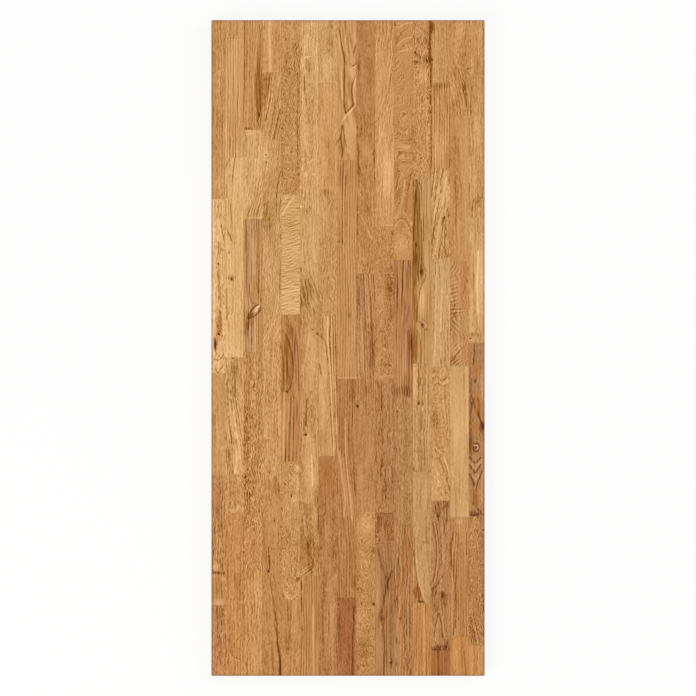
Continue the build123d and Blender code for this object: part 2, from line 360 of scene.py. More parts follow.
        line(-0.9, 1.4, (562, 41), (550, 30), (541, 20), (527, 11)),
        line(-0.5, 1.1, (556, 35), (545, 27), (535, 18)),
        line(-0.8, 1.2, (723, 18), (690, 21), (660, 25), (644, 28), (650, 35), (657, 43)),
        line(0.7, 1.1, (723, 23), (690, 26), (667, 29.5), (653, 34), (662, 43)),
        line(0.9, 1.1, (661, 30), (656, 37), (660, 43.5)), line(0.7, 1.1, (673, 24), (655, 31), (649, 37)),
        line(-0.6, 1.1, (723, 26), (690, 31), (668, 38)),
        line(0.7, 1.0, (762, 17), (720, 20), (680, 23), (655, 26), (640, 28)),
        line(0.6, 1.0, (762, 32), (735, 34)), line(1.0, 1.3, (706, 43), (697, 40), (678, 36)),
        line(-0.5, 1.1, (762, 8), (720, 11), (690, 16)), line(-0.5, 1.1, (762, 22), (735, 25), (700, 31)),
        line(0.5, 1.0, (762, 26), (725, 29), (700, 34)), line(1.1, 1.2, (518, 10.5), (491, 6.5), (478, 0.5)),
        line(1.0, 1.2, (518, 11.5), (491, 16), (467, 21)), patch(0.35, 10, 462, 9, 24),
        line(0.8, 1.0, (500, 10), (480, 8), (460, 12), (440, 8)),
        line(0.7, 1.0, (490, 13), (470, 15), (450, 12)), line(-0.6, 1.1, (500, 17), (480, 21), (455, 25)),
        patch(-0.3, 31, 500, 11, 42), flush(0.3, 34, 465, 11, 45), flush(0.3, 12, 445, 10, 14), shade=-0.11,
        crisp=0.69, lines=0.2, streak=0.38, fleck=0.27, pith=(20, -50),
        flow=((762, 0), (690, 6), (620, 9), (545, 10), (436, 10))),
    stave(508, "tan", "straight", line(0.5, 1.0, (430, 13), (330, 12), (240, 12)),
        line(0.5, 1.0, (400, 19), (320, 18), (230, 18)), line(-0.6, 1.0, (420, 15.5), (300, 15), (220, 15)),
        line(0.5, 1.0, (340, 22), (260, 22)), flush(0.5, 34, 350, 10, 90), knot(3, 247, 1.6, 1.4, core=0.6),
        knot(12, 247, 1.4, 1.2, core=0.2, halo=0.2), patch(0.5, 28, 75, 2.5, 7),
        line(-0.7, 0.9, (-69, 0), (-69, 43.6)), patch(0.25, 10, 400, 12, 30), shade=-0.02, red=-0.04,
        crisp=0.5, streak=0.49, fleck=0.5),
    stave(508, "caramel", "straight",
        line(-0.75, 2.0, (-165, 18), (-254, 20), (-310, 25), (-350, 30), (-400, 34)),
        line(-0.7, 2.2, (-240, 3), (-300, 11), (-350, 17), (-392, 15)),
        line(-0.4, 1.6, (-254, 11), (-310, 17), (-360, 23)),
        line(0.3, 1.6, (-72, 24), (-180, 24), (-250, 27)), line(0.3, 2.0, (-150, 36), (-250, 36), (-330, 41)),
        flush(0.25, 38, -240, 5, 10), patch(0.2, 30, -100, 12, 30),
        line(-0.3, 1.0, (-410, 20), (-440, 24), (-480, 27), (-520, 24)),
        line(-0.3, 1.0, (-420, 10), (-460, 14), (-500, 8), (-540, 12)),
        line(0.25, 1.0, (-430, 28), (-470, 31), (-510, 28), (-560, 36)), patch(0.4, 38, -545, 5, 18),
        shade=0.04, crisp=0.74, lines=0.18, streak=0.46, fleck=0.5,
        flow=((-72, 0), (-250, 2), (-400, 14), (-580, 16))),
    stave(182, "russet", "soft", line(0.6, 2.4, (-600, 38), (-660, 36), (-762, 35)),
        line(-0.4, 2.0, (-620, 42.5), (-762, 42)), line(0.4, 1.6, (-582, 4), (-680, 3)),
        line(0.3, 1.5, (-600, 27), (-680, 24)), patch(-0.25, 8, -745, 9, 18), flush(0.3, 20, -670, 18, 70),
        shade=0.08, crisp=0.5, lines=0.04, streak=0.45, fleck=0.88),
], [  # Lane 9
    stave(222, "caramel", "plain", patch(0.7, 30, 702, 4, 2.5), line(0.5, 0.9, (690, 20), (683, 26)),
        line(0.5, 0.9, (678, 21), (672, 27)), line(0.5, 0.9, (665, 21), (661, 27)),
        line(0.4, 0.9, (654, 20), (650, 27)), patch(0.4, 4, 655, 5, 8), patch(0.25, 35, 640, 8, 40),
        flush(0.4, 30, 610, 8, 60), shade=-0.08, crisp=0.89, streak=0.28, fleck=0.43),
    stave(368, "biscuit", "soft", line(0.7, 1.0, (352, 2.5), (300, 3), (262, 3)),
        line(0.7, 1.3, (540, 3), (440, 4), (400, 6)), line(0.6, 1.2, (516, 11), (505, 13), (494, 9)),
        line(-0.5, 1.2, (442, 4), (418, 11), (404, 16)), line(0.5, 1.4, (440, 3), (412, 9), (385, 7)),
        line(-0.6, 1.2, (374, 2), (355, 10), (346, 17)),
        line(-0.7, 1.5, (306, 12), (292, 18), (275, 27), (255, 35)), line(0.5, 1.2, (372, 4), (380, 8)),
        patch(-0.25, 20, 455, 10, 26), patch(0.5, 18, 191, 8, 2), patch(-0.35, 18, 207, 9, 2.5),
        line(0.45, 1.0, (340, 22), (315, 24)), line(0.45, 1.2, (540, 42), (400, 42), (330, 41)),
        flush(0.35, 18, 330, 12, 90), line(-0.45, 0.8, (175, 2), (174, 42)), shade=-0.01, crisp=0.86,
        streak=0.41, fleck=0.57),
    stave(294, "caramel", "straight", line(0.7, 1.3, (172, 26), (115, 33), (50, 36.5), (5, 39), (-40, 43)),
        line(-0.45, 1.2, (172, 31), (110, 36.5), (60, 40)), line(-0.5, 1.8, (172, 22), (120, 25), (60, 30)),
        line(0.5, 2.0, (36, 29), (0, 31), (-45, 32)), line(0.4, 1.3, (165, 10), (100, 5)),
        line(-0.5, 2.4, (75, 11), (20, 13), (-60, 16)), line(0.4, 1.2, (60, 20), (0, 18), (-60, 20)),
        line(0.3, 1.2, (150, 17), (90, 19), (40, 24)), patch(0.4, 38, -20, 7, 50),
        flush(0.6, 24, -100, 24, 26), patch(0.4, 24, -98, 7, 10), shade=-0.06, red=-0.08, crisp=1.11,
        streak=0.47, fleck=0.5, flow=((172, 0), (60, 6), (-122, 12))),
    stave(259, "biscuit", "plain", knot(2.4, -135, 3.0, 3.4, halo=0.3, sink=0.5),
        line(0.35, 0.9, (-135, 33), (-160, 42)), line(0.35, 0.9, (-150, 29), (-175, 40)),
        line(0.35, 0.9, (-165, 28), (-190, 39)), line(0.35, 0.9, (-180, 30), (-200, 38)),
        line(0.4, 1.0, (-280, 35), (-320, 41)), line(0.3, 1.0, (-200, 8), (-380, 8)),
        patch(-0.3, 8, -300, 5, 40), shade=0.06, red=-0.08, crisp=0.69, streak=0.28, fleck=0.51),
    stave(381, "tan", "swirled", patch(-0.3, 20, -410, 20, 28), patch(0.3, 40, -396, 4, 4),
        patch(0.35, 40, -470, 4, 8), knot(40, -595, 2.8, 2.4, core=0.8, halo=0.4),
        line(-0.45, 0.9, (-606, 1), (-604, 20), (-606, 43)),
        line(0.45, 1.2, (-653, 2), (-655, 20), (-652, 40)), patch(0.25, 14, -700, 20, 30),
        line(0.35, 1.0, (-740, 3), (-738, 18)), patch(-0.2, 15, -625, 14, 12), shade=0.06, fleck=0.55,
        curl=2.2),
], [  # Lane 10
    stave(479, "honey", "soft", line(-0.5, 1.4, (520, 22), (495, 15), (470, 6)),
        line(-0.4, 1.8, (500, 24), (430, 25), (350, 22)), line(-0.4, 1.8, (440, 33), (360, 32)),
        line(-0.4, 1.4, (480, 42), (300, 42)), patch(-0.25, 30, 400, 12, 70), flush(0.35, 38, 300, 6, 16),
        line(0.25, 1.0, (650, 42), (600, 30), (550, 22)), line(0.3, 1.0, (335, 12), (315, 24)),
        line(-0.5, 0.8, (284, 1), (285, 43)), shade=0.02, crisp=0.79, streak=0.46, fleck=0.48,
        flow=((762, 0), (640, -8), (500, -22), (400, -26), (283, -26))),
    stave(359, "biscuit", "swirled", patch(0.5, 41, 264, 4, 8), patch(0.5, 38, 212, 8, 3),
        patch(0.45, 38, 140, 6, 9), patch(0.35, 34, 150, 10, 45),
        line(0.5, 1.2, (130, 31), (100, 37), (70, 37)), patch(0.35, 38, 75, 5, 20),
        flush(0.35, 34, 120, 9, 60), patch(-0.2, 12, 110, 9, 28),
        line(-0.35, 1.6, (-62, 3), (-68, 14), (-64, 28), (-68, 43)), patch(0.3, 34, -40, 8, 22), shade=-0.04,
        crisp=0.85),
    stave(307, "nut", "soft", line(0.35, 1.8, (-78, 12), (-130, 15), (-200, 17), (-245, 21)),
        line(0.3, 1.8, (-245, 22), (-280, 14), (-320, 18), (-360, 18)),
        line(0.2, 1.3, (-270, 20), (-300, 26), (-350, 25)), line(-0.35, 1.4, (-335, 20), (-350, 22)),
        line(-0.25, 1.6, (-78, 23), (-130, 24)), flush(0.25, 8, -110, 8, 36),
        line(0.2, 1.2, (-80, 42), (-160, 40)), patch(0.15, 20, -300, 12, 50), shade=-0.05, crisp=1.14,
        curl=0.8),
    stave(72, "nut", "swirled", flush(0.35, 30, -412, 10, 28), patch(0.15, 8, -405, 9, 26),
        patch(0.45, 24, -415, 3, 12), line(-0.5, 0.9, (-450, 18), (-449, 30), (-453, 42)),
        line(0.3, 1.4, (-385, 1), (-384, 40)), patch(-0.15, 14, -442, 9, 12), shade=0.15),
    stave(307, "umber", "soft", line(0.55, 2.2, (-466, 7), (-507, 16), (-540, 27), (-560, 29)),
        line(0.7, 2.2, (-520, 38), (-535, 34), (-549, 28), (-572, 23), (-614, 16)),
        patch(0.35, 26, -548, 6, 20), knot(15.5, -628, 3.8, 8.0, core=0.7, halo=0.6, sink=0.4),
        line(0.55, 2.2, (-640, 17), (-670, 20.5), (-762, 20)), knot(36, -731, 3.2, 1.8, halo=0.2),
        line(0.35, 1.2, (-720, 40), (-731, 34)), patch(-0.45, 6, -560, 8, 80), patch(-0.35, 9, -700, 8, 50),
        line(0.4, 1.1, (-460, 30), (-520, 41)), line(-0.35, 1.1, (-465, 20), (-520, 32)),
        line(0.4, 1.1, (-580, 38), (-660, 36), (-762, 38)),
        line(-0.4, 1.2, (-570, 33), (-640, 30), (-762, 32)),
        line(0.35, 1.1, (-600, 28), (-680, 26), (-762, 27)), line(-0.35, 1.2, (-640, 24), (-762, 24)),
        flush(0.4, 24, -628, 8, 22), shade=0.01, red=-0.1, crisp=0.5, streak=0.47, fleck=0.55,
        flow=((-455, 0), (-560, 9), (-762, 9))),
], [  # Lane 11
    stave(558, "tan", "swirled", line(-0.9, 1.2, (746, 1), (747, 14), (754, 28), (756, 43)),
        line(-0.8, 1.3, (702, 9), (714, 18), (720, 30), (723, 43)),
        line(-0.8, 1.3, (688, 12), (692, 25), (697, 43)), line(0.35, 1.6, (700, 20), (708, 32), (712, 43)),
        line(0.6, 1.0, (513, 14), (505, 22), (510, 30)), line(-0.7, 1.0, (507, 12), (500, 22), (504, 32)),
        line(0.6, 1.0, (500, 10), (494, 22), (497, 34)), line(0.7, 1.0, (483, 14), (483, 28), (486, 42)),
        line(0.5, 1.0, (476, 20), (474, 40)), patch(-0.5, 26, 466, 16, 7),
        line(0.6, 1.2, (454, 14), (453, 43)), line(-0.5, 1.0, (441, 20), (442, 43)),
        line(0.4, 1.2, (432, 18), (431, 40)), line(-0.5, 1.0, (424, 16), (423, 42)),
        line(-0.6, 0.9, (398, 16), (410, 20)), line(-0.6, 0.9, (385, 12), (398, 17)),
        line(-0.5, 0.9, (372, 12), (384, 17)), patch(0.35, 9, 370, 8, 60), flush(0.7, 32, 340, 10, 50),
        line(0.4, 2.2, (405, 40), (350, 30), (318, 28)), line(-0.4, 2.0, (390, 26), (340, 20), (300, 6)),
        line(0.5, 1.4, (288, 2), (299, 12), (301, 20), (293, 30), (270, 40)),
        line(-0.6, 1.4, (280, 2), (296, 13), (297, 20), (285, 30), (262, 38)),
        line(-0.5, 1.6, (315, 24), (300, 34), (285, 43)), line(0.4, 1.6, (262, 30), (230, 36)),
        patch(-0.3, 18, 235, 16, 26), shade=-0.01, crisp=0.68, lines=0.2, streak=0.2, fleck=0.45, curl=2.6,
        turn=0.5),
    stave(318, "nut", "straight", line(0.45, 1.3, (204, 5), (150, 8), (90, 7)),
        line(0.5, 1.5, (204, 16), (150, 19), (100, 19)), line(0.5, 1.5, (204, 22), (130, 19.5), (80, 17)),
        line(0.45, 1.4, (190, 28), (130, 30), (90, 28)), line(0.45, 1.8, (204, 32), (185, 38), (165, 42)),
        line(0.45, 1.8, (95, 36), (78, 32), (62, 29)), patch(0.55, 40, 0, 6, 44),
        line(0.4, 2.2, (40, 33), (0, 35), (-60, 34), (-110, 32)),
        line(-0.5, 1.6, (30, 29), (-10, 28), (-60, 26)), line(-0.35, 1.4, (-10, 9), (-60, 11), (-90, 11)),
        line(0.3, 1.3, (50, 6), (-10, 7), (-60, 4)), patch(0.35, 22, -100, 20, 12),
        flush(0.35, 42, 195, 5, 20), line(-0.3, 1.5, (204, 12), (160, 13), (100, 12)),
        line(-0.3, 1.5, (200, 26), (120, 25)), patch(0.3, 40, -90, 6, 24), shade=-0.07),
    stave(297, "caramel", "plain", knot(8, -147, 1.6, 2.0, core=0.6), patch(0.3, 9, -160, 3, 12), shade=0.03,
        red=-0.12, crisp=1.07, streak=0.27, fleck=0.49),
    stave(351, "nut", "soft", line(-0.45, 1.2, (-450, 8), (-425, 11), (-416, 8)),
        line(-0.45, 1.2, (-460, 17), (-430, 21), (-417, 22)),
        line(-0.4, 1.2, (-440, 31), (-422, 37), (-412, 41)),
        line(0.5, 1.5, (-411, 37), (-500, 38), (-600, 36), (-762, 38)),
        line(0.4, 1.2, (-420, 24), (-480, 22), (-560, 25), (-700, 24)),
        line(0.35, 1.2, (-430, 29), (-520, 31), (-620, 29), (-740, 31)),
        line(-0.7, 1.1, (-476, 9), (-490, 5), (-520, 4), (-545, 6), (-560, 11), (-545, 16), (-515, 18),
            (-490, 15), (-476, 9)), line(0.5, 1.0, (-488, 10), (-515, 9), (-548, 11)),
        line(0.5, 1.0, (-466, 8), (-500, 1.5), (-540, 2)),
        line(0.5, 1.0, (-468, 12), (-500, 20), (-545, 20), (-570, 14)),
        line(-0.6, 1.1, (-565, 12), (-580, 14), (-610, 13), (-640, 9), (-680, 10)),
        line(-0.5, 1.1, (-640, 16), (-690, 17), (-750, 14)),
        line(0.4, 1.1, (-600, 19), (-660, 20), (-740, 18)), patch(0.55, 8, -555, 4, 6),
        patch(0.55, 6, -590, 3.5, 14), knot(14, -628, 2.0, 1.6, core=0.8, halo=0.2),
        patch(0.5, 6, -682, 3, 9), patch(0.3, 5, -735, 4, 12),
        line(-0.35, 1.1, (-500, 34), (-600, 33), (-700, 34)), flush(0.4, 24, -500, 14, 70),
        flush(0.3, 12, -600, 10, 60), shade=-0.02, crisp=0.64, lines=0.25, curl=0.9),
], [  # Lane 12
    stave(369, "tan", "swirled", line(0.9, 2.2, (762, 40), (745, 41), (700, 40), (668, 39)),
        patch(0.5, 43, 745, 5, 12), line(0.6, 1.8, (680, 42), (640, 42), (600, 43)),
        patch(0.45, 42, 700, 6, 80), line(0.5, 1.8, (600, 42), (450, 42), (400, 41)),
        knot(6, 687, 2.2, 1.8, halo=0.2), line(0.8, 1.1, (688, 4), (683, 12), (676, 22), (669, 32)),
        knot(33, 667, 2.2, 2.0, core=0.8, halo=0.3), line(0.8, 1.3, (668, 32), (664, 40)),
        line(0.4, 2.2, (740, 30), (705, 31)), line(-0.6, 1.2, (655, 30), (560, 31), (440, 36)),
        patch(-0.35, 24, 630, 9, 16), patch(0.4, 10, 664, 14, 4), flush(0.2, 34, 420, 9, 20), shade=-0.06,
        crisp=1.48, streak=0.26, fleck=0.55),
    stave(429, "wheat", "straight", patch(0.42, 7, 290, 11, 95), patch(0.48, 10, 195, 13, 42),
        patch(0.5, 8, 205, 4, 12), patch(0.45, 5, 150, 3, 10), patch(0.5, 4, 110, 8, 56),
        line(0.8, 1.3, (374, 3), (383, 8), (371, 14), (343, 16.5), (320, 17.2), (273, 19.5), (227, 22.8),
            (195, 24.5), (178, 31)),
        line(0.9, 1.4, (172, 31), (162, 29), (148, 21.5), (115, 14.5), (83, 10.2), (60, 10)),
        line(0.8, 1.2, (378, 0), (388, 5), (386, 13), (371, 19.5), (343, 21.9), (300, 24), (250, 26)),
        line(-0.5, 1.2, (379, 6), (379, 12), (365, 16.8), (340, 19), (300, 21)),
        line(0.7, 1.8, (366, 7), (345, 6), (300, 4), (250, 2)), patch(0.4, 8, 352, 4, 14),
        knot(8, 239, 2.4, 3, core=0.4, halo=0.3), line(0.5, 1.2, (320, 11), (270, 12), (230, 14)),
        line(-0.3, 1.1, (310, 8), (260, 8), (220, 10)), knot(20.5, 177, 5.0, 6.5, core=0.65, halo=0.5),
        patch(-0.8, 22, 112, 8, 36), patch(-0.4, 32, 190, 8, 60), flush(0.25, 7, 250, 14, 130),
        flush(0.5, 5, 100, 8, 60), flush(0.25, 22, 105, 10, 36), line(1.0, 1.2, (62, 15), (54, 22)),
        line(-0.9, 1.1, (61, 26), (55, 31), (46, 29)), knot(23.5, 53, 2.8, 3.8, core=0.8, halo=0.4),
        line(0.9, 1.1, (47, 26), (42, 33)), line(0.6, 1.1, (70, 21), (62, 27), (56, 34)),
        patch(0.6, 5, 5, 7, 44), flush(0.7, 6, 0, 8, 44),
        line(0.7, 1.2, (40, 13), (10, 18), (-20, 19), (-36, 18)),
        line(-0.5, 1.3, (40, 17), (0, 15), (-36, 14)), line(0.4, 1.2, (40, 26), (10, 28), (-36, 27)),
        line(-0.5, 1.2, (60, 12), (40, 14)), line(0.4, 1.3, (300, 36), (150, 41), (60, 42)),
        line(-0.4, 1.4, (393, 37), (250, 38)), shade=0.07, red=-0.14, crisp=0.54, lines=0.12, streak=0.48,
        fleck=0.36),
    stave(252, "wheat", "soft", patch(-0.6, 5, -80, 7, 48), flush(0.35, 6, -90, 9, 60),
        line(1.1, 1.2, (-36, 14), (-60, 13.5), (-92, 14)), line(0.5, 1.0, (-40, 19), (-90, 18)),
        knot(13.5, -129, 1.8, 2.6, halo=0.3), line(0.4, 1.0, (-145, 26), (-190, 26)),
        patch(0.4, 4, -284, 3, 6), patch(0.4, 40, -286, 5, 3), line(0.35, 1.2, (-210, 20), (-285, 22)),
        shade=0.08, red=-0.15),
    stave(304, "wheat", "plain", line(0.9, 0.9, (-451, 24), (-453, 30), (-452, 36)),
        line(0.5, 1.3, (-415, 32), (-450, 33)), line(0.35, 1.2, (-380, 30), (-400, 31)),
        line(0.5, 2.0, (-470, 3), (-520, 8), (-560, 15), (-590, 24)),
        line(-0.5, 1.4, (-480, 8), (-530, 12), (-560, 20), (-580, 27)), patch(0.6, 6, -572, 9, 22),
        line(0.8, 1.8, (-552, 11), (-575, 14), (-590, 17)), knot(19.5, -590, 5.5, 2.4, core=0.8, halo=0.4),
        flush(0.6, 8, -560, 10, 30), line(0.3, 1.2, (-440, 4), (-500, 5)),
        line(0.35, 1.2, (-470, 34), (-530, 40), (-592, 42)), line(0.3, 1.0, (-310, 10), (-420, 9)), red=-0.2,
        crisp=0.78, streak=0.31, fleck=0.47, flow=((-288, 0), (-470, 0), (-592, 10))),
    stave(170, "amber", "straight", line(-0.6, 1.6, (-600, 26), (-762, 27)),
        line(0.5, 1.0, (-600, 30), (-680, 31)), flush(0.4, 10, -660, 7, 70), flush(0.4, 36, -680, 5, 60),
        shade=0.06, crisp=0.74, lines=0.12, streak=0.52, fleck=0.44),
], [  # Lane 13
    stave(145, "wheat", "soft", patch(1.6, 2, 745, 4.5, 12), flush(1.0, 5, 745, 4, 14),
        knot(1, 670, 1.8, 2.0, core=0.6), patch(0.7, 1, 640, 1.6, 30), crisp=0.64, streak=0.43, fleck=0.67),
    stave(199, "tan", "straight", patch(0.45, 22, 610, 20, 8), patch(0.6, 14, 597, 4, 14),
        line(0.45, 1.0, (612, 38), (585, 31)), line(0.6, 1.2, (560, 1), (520, 1)),
        line(0.4, 1.4, (600, 6), (500, 8)), patch(-0.35, 18, 470, 14, 40), patch(0.15, 24, 560, 20, 40),
        shade=-0.06, crisp=0.88, streak=0.49, fleck=0.44),
    stave(212, "honey", "soft", line(0.95, 1.3, (418, 15.5), (360, 10), (320, 4), (290, 0)),
        line(0.95, 1.3, (418, 28), (380, 24), (345, 19), (310, 12), (270, 5), (240, 1)),
        line(0.7, 1.2, (418, 7), (380, 3), (350, 1)),
        line(0.7, 1.1, (335, 27), (310, 20), (280, 12), (250, 7), (220, 2)),
        line(0.7, 1.3, (338, 33), (322, 37), (304, 41)),
        line(-0.6, 1.6, (418, 22), (370, 17), (320, 9), (280, 3)),
        line(-0.5, 1.6, (345, 30), (300, 20), (250, 10)), line(-0.5, 2.0, (400, 36), (345, 28)),
        line(0.45, 1.1, (335, 31), (280, 26), (245, 20)), knot(30.3, 303, 1.6, 4.2, halo=0.15),
        line(0.6, 1.1, (243, 24), (228, 19), (212, 17)), line(0.6, 1.1, (243, 24), (225, 34), (212, 38)),
        patch(0.25, 27, 222, 7, 12), flush(0.45, 36, 230, 6, 22), patch(-0.25, 34, 380, 8, 30),
        flush(0.2, 38, 300, 6, 40), shade=-0.02, red=-0.12, crisp=1.64,
        flow=((418, 0), (345, -9), (270, -23), (206, -28))),
    stave(251, "honey", "soft", line(0.5, 1.2, (206, 6), (170, 11)), line(0.6, 1.2, (200, 16), (165, 20)),
        line(-0.6, 1.6, (180, 12), (60, 10), (-20, 9)), line(-0.6, 1.8, (140, 24), (40, 21)),
        line(0.45, 1.2, (120, 28), (0, 25)), line(-0.5, 1.4, (206, 25), (150, 26)),
        line(0.4, 1.5, (100, 36), (-20, 38)), shade=-0.05, red=-0.3),
    stave(310, "wheat", "curly", line(0.6, 1.2, (-58, 4), (-52, 12), (-60, 18), (-52, 26)),
        line(0.7, 1.2, (-72, 4), (-66, 14), (-76, 23), (-70, 34)),
        line(-0.5, 1.2, (-66, 3), (-60, 12), (-70, 20), (-62, 30)),
        line(-0.6, 1.2, (-80, 10), (-74, 16), (-84, 26), (-76, 38)),
        line(0.5, 1.2, (-92, 6), (-82, 12), (-90, 28), (-84, 36)),
        line(0.5, 1.1, (-98, 30), (-140, 33), (-185, 38)),
        line(-0.5, 1.1, (-98, 27), (-140, 29), (-180, 34), (-195, 30)),
        line(0.4, 1.1, (-100, 23), (-140, 25), (-175, 29)),
        line(0.5, 1.1, (-188, 38), (-205, 32), (-208, 24)),
        line(-0.5, 1.1, (-180, 41), (-202, 37), (-214, 26)),
        line(0.5, 1.2, (-222, 10), (-236, 20), (-242, 28)),
        line(-0.4, 1.2, (-228, 8), (-242, 20), (-248, 34)), line(0.4, 1.1, (-230, 5), (-246, 14)),
        patch(0.35, 8, -165, 10, 22), flush(0.4, 14, -180, 13, 30),
        line(0.7, 1.3, (-254, 17), (-285, 30), (-330, 42)),
        line(0.6, 1.2, (-250, 22), (-275, 33), (-300, 41)),
        line(0.5, 1.1, (-265, 13), (-300, 23), (-340, 34)),
        line(-0.7, 2.2, (-254, 28), (-275, 37), (-300, 43)), patch(-0.2, 14, -315, 15, 34),
        line(0.35, 1.1, (-285, 8), (-330, 16)), line(0.35, 1.0, (-120, 2), (-150, 10)), shade=-0.04,
        crisp=0.82, lines=0.1, streak=0.12, fleck=0.62, curl=1.2, flow=((-45, 0), (-240, 2), (-355, 16))),
    stave(348, "nut", "soft", patch(0.4, 26, -362, 14, 16), line(0.8, 1.3, (-357, 5), (-375, 11), (-388, 14)),
        line(0.7, 1.2, (-357, 14), (-372, 18), (-385, 20)), knot(15.5, -391, 3.0, 2.2, core=0.9, halo=0.3),
        line(0.8, 1.2, (-357, 38), (-380, 36), (-405, 38)),
        line(0.8, 1.3, (-400, 2), (-430, 9), (-470, 12), (-510, 10), (-545, 3)),
        line(0.7, 1.2, (-402, 9), (-440, 16), (-480, 19), (-520, 16), (-560, 6)),
        line(-0.7, 1.3, (-400, 5), (-440, 13), (-480, 15.5), (-520, 12), (-552, 4)),
        line(0.5, 1.2, (-398, 17), (-440, 22), (-490, 23), (-540, 18), (-575, 8)),
        line(-0.4, 2.0, (-420, 26), (-500, 28)), line(0.6, 1.3, (-400, 34), (-430, 28)),
        line(0.8, 1.4, (-530, 26), (-538, 20), (-556, 10)), patch(0.7, 25, -572, 5, 7),
        patch(0.4, 30, -585, 8, 16), line(0.6, 1.1, (-570, 18), (-590, 14)),
        line(0.9, 1.2, (-618, 16), (-640, 11), (-670, 6)), line(0.8, 1.2, (-618, 19), (-640, 23), (-670, 26)),
        line(-0.8, 1.4, (-630, 17), (-655, 13), (-680, 10)),
        line(-0.6, 1.3, (-625, 24), (-650, 28), (-675, 32)), patch(0.55, 22, -698, 24, 7),
        patch(0.55, 38, -690, 7, 12), line(-0.9, 1.0, (-684, 40), (-694, 41), (-700, 34)),
        line(0.9, 1.0, (-700.5, 3), (-701, 20), (-700, 34)), knot(16, -695, 3.0, 3.4, core=0.4, halo=0.3),
        knot(30, -696, 4.4, 3.4, core=0.3, halo=0.3), patch(0.4, 5, -560, 4, 18), flush(0.4, 34, -540, 9, 60),
        patch(0.3, 12, -600, 8, 12), shade=-0.12, red=-0.05, crisp=0.95, streak=0.43, fleck=0.54),
    stave(59, "russet", "straight", line(1.25, 1.6, (-703, 15.7), (-762, 16)), flush(0.7, 10, -735, 12, 30),
        line(-0.55, 1.4, (-705, 11), (-762, 12)), crisp=0.56, lines=0.12, streak=0.52, fleck=0.41),
], [  # Lane 14
    stave(221, "tan", "soft", line(0.6, 1.4, (762, 11), (735, 11), (715, 9)),
        knot(9, 707, 1.9, 2.0, core=0.8, halo=0.3), patch(-0.25, 24, 735, 10, 22), patch(0.4, 25, 678, 4, 8),
        knot(30, 657, 2.2, 2.0, core=0.6, halo=0.2), knot(42, 649, 2.6, 2.2, core=0.8, halo=0.2),
        flush(0.7, 32, 668, 9, 26), line(0.5, 1.1, (655, 13), (620, 23), (590, 33), (550, 41)),
        line(0.5, 1.1, (648, 19), (620, 28), (590, 38)), line(0.45, 1.2, (625, 27), (590, 34), (560, 39)),
        patch(0.3, 36, 610, 6, 40), line(0.35, 1.6, (650, 8), (610, 18), (570, 30)),
        line(-0.5, 1.0, (600, 25), (565, 32)), patch(-0.25, 10, 600, 9, 24), patch(0.45, 6, 560, 6, 16),
        line(0.45, 1.0, (585, 5), (545, 6)), line(0.35, 1.0, (575, 15), (545, 16)), shade=-0.11, crisp=0.93,
        streak=0.41, fleck=0.55, flow=((762, 0), (660, 2), (600, 16), (541, 24))),
    stave(340, "tan", "plain", patch(0.25, 14, 400, 9, 150), patch(-0.2, 36, 400, 7, 150),
        line(0.25, 1.2, (490, 10), (460, 14)), line(0.3, 1.2, (400, 12), (330, 14), (280, 12)),
        line(-0.25, 1.2, (500, 26), (400, 27)), shade=-0.07, crisp=0.9),
    stave(243, "biscuit", "curly", patch(0.3, 8, 70, 9, 50), ripple(0.5, 9, 126, 10, 42, 9.5, 0.35),
        ripple(0.6, 18, 88, 16, 9, 8, 0.1), ripple(0.35, 14, 52, 12, 22, 12, -0.9),
        ripple(0.45, 18, -3, 12, 17, 12, 1.1), ripple(0.5, 14, -33, 13, 9, 9, 0.8),
        line(-0.7, 1.1, (-14, 8), (-4, 17), (10, 27)), line(0.6, 1.0, (-20, 10), (-10, 19), (4, 29)),
        patch(0.5, 8, -30, 9, 12), flush(0.6, 32, 150, 12, 60), flush(0.4, 34, -10, 10, 30), shade=-0.09,
        red=-0.12, crisp=0.59, streak=0.2, fleck=0.5),
    stave(351, "straw", "plain", line(-0.5, 1.6, (-42, 39), (-200, 40)),
        line(0.25, 1.0, (-60, 32), (-300, 33)), patch(-0.2, 20, -190, 20, 130), shade=0.07, red=-0.15,
        crisp=1.11, streak=0.25, fleck=0.2),
    stave(277, "caramel", "straight", line(1.0, 1.3, (-424, 10), (-440, 6), (-452, 2)),
        line(1.0, 1.3, (-452, 2), (-490, 3), (-530, 8), (-590, 11), (-640, 9), (-665, 7)),
        line(0.8, 1.1, (-430, 15), (-460, 10), (-500, 9), (-550, 12), (-600, 15), (-650, 12)),
        line(-0.8, 1.3, (-440, 11), (-480, 6), (-520, 6), (-560, 9)),
        line(0.6, 1.1, (-435, 19), (-480, 16), (-540, 16)), line(0.8, 1.2, (-430, 38), (-480, 38)),
        line(0.4, 1.0, (-600, 32), (-650, 30)), flush(0.6, 28, -560, 13, 90),
        line(-0.4, 1.3, (-400, 22), (-450, 25)), patch(-0.3, 24, -402, 10, 8), shade=-0.09, crisp=0.89,
        lines=0.18, streak=0.51, fleck=0.48),
    stave(92, "amber", "plain", patch(-0.2, 12, -715, 9, 34), line(0.25, 1.6, (-680, 30), (-762, 36)),
        shade=0.09, crisp=0.6),
], [  # Lane 15
    stave(460, "wheat", "soft", knot(4, 716, 1.4, 1.8, core=0.4, halo=0.2),
        knot(6, 694, 1.4, 1.8, core=0.3, halo=0.2), knot(5, 650, 1.8, 2.2, core=0.4, halo=0.2),
        line(0.6, 1.5, (636, 5), (600, 6), (580, 5)), line(0.5, 1.4, (570, 4), (540, 5)),
        flush(0.4, 14, 700, 9, 60), patch(0.3, 14, 335, 14, 22), line(0.3, 1.0, (700, 16), (560, 14)),
        patch(-0.6, 23, 322, 4, 4), shade=-0.06),
    stave(290, "straw", "plain", line(-0.9, 2.0, (225, 22), (180, 20), (120, 19), (80, 20)),
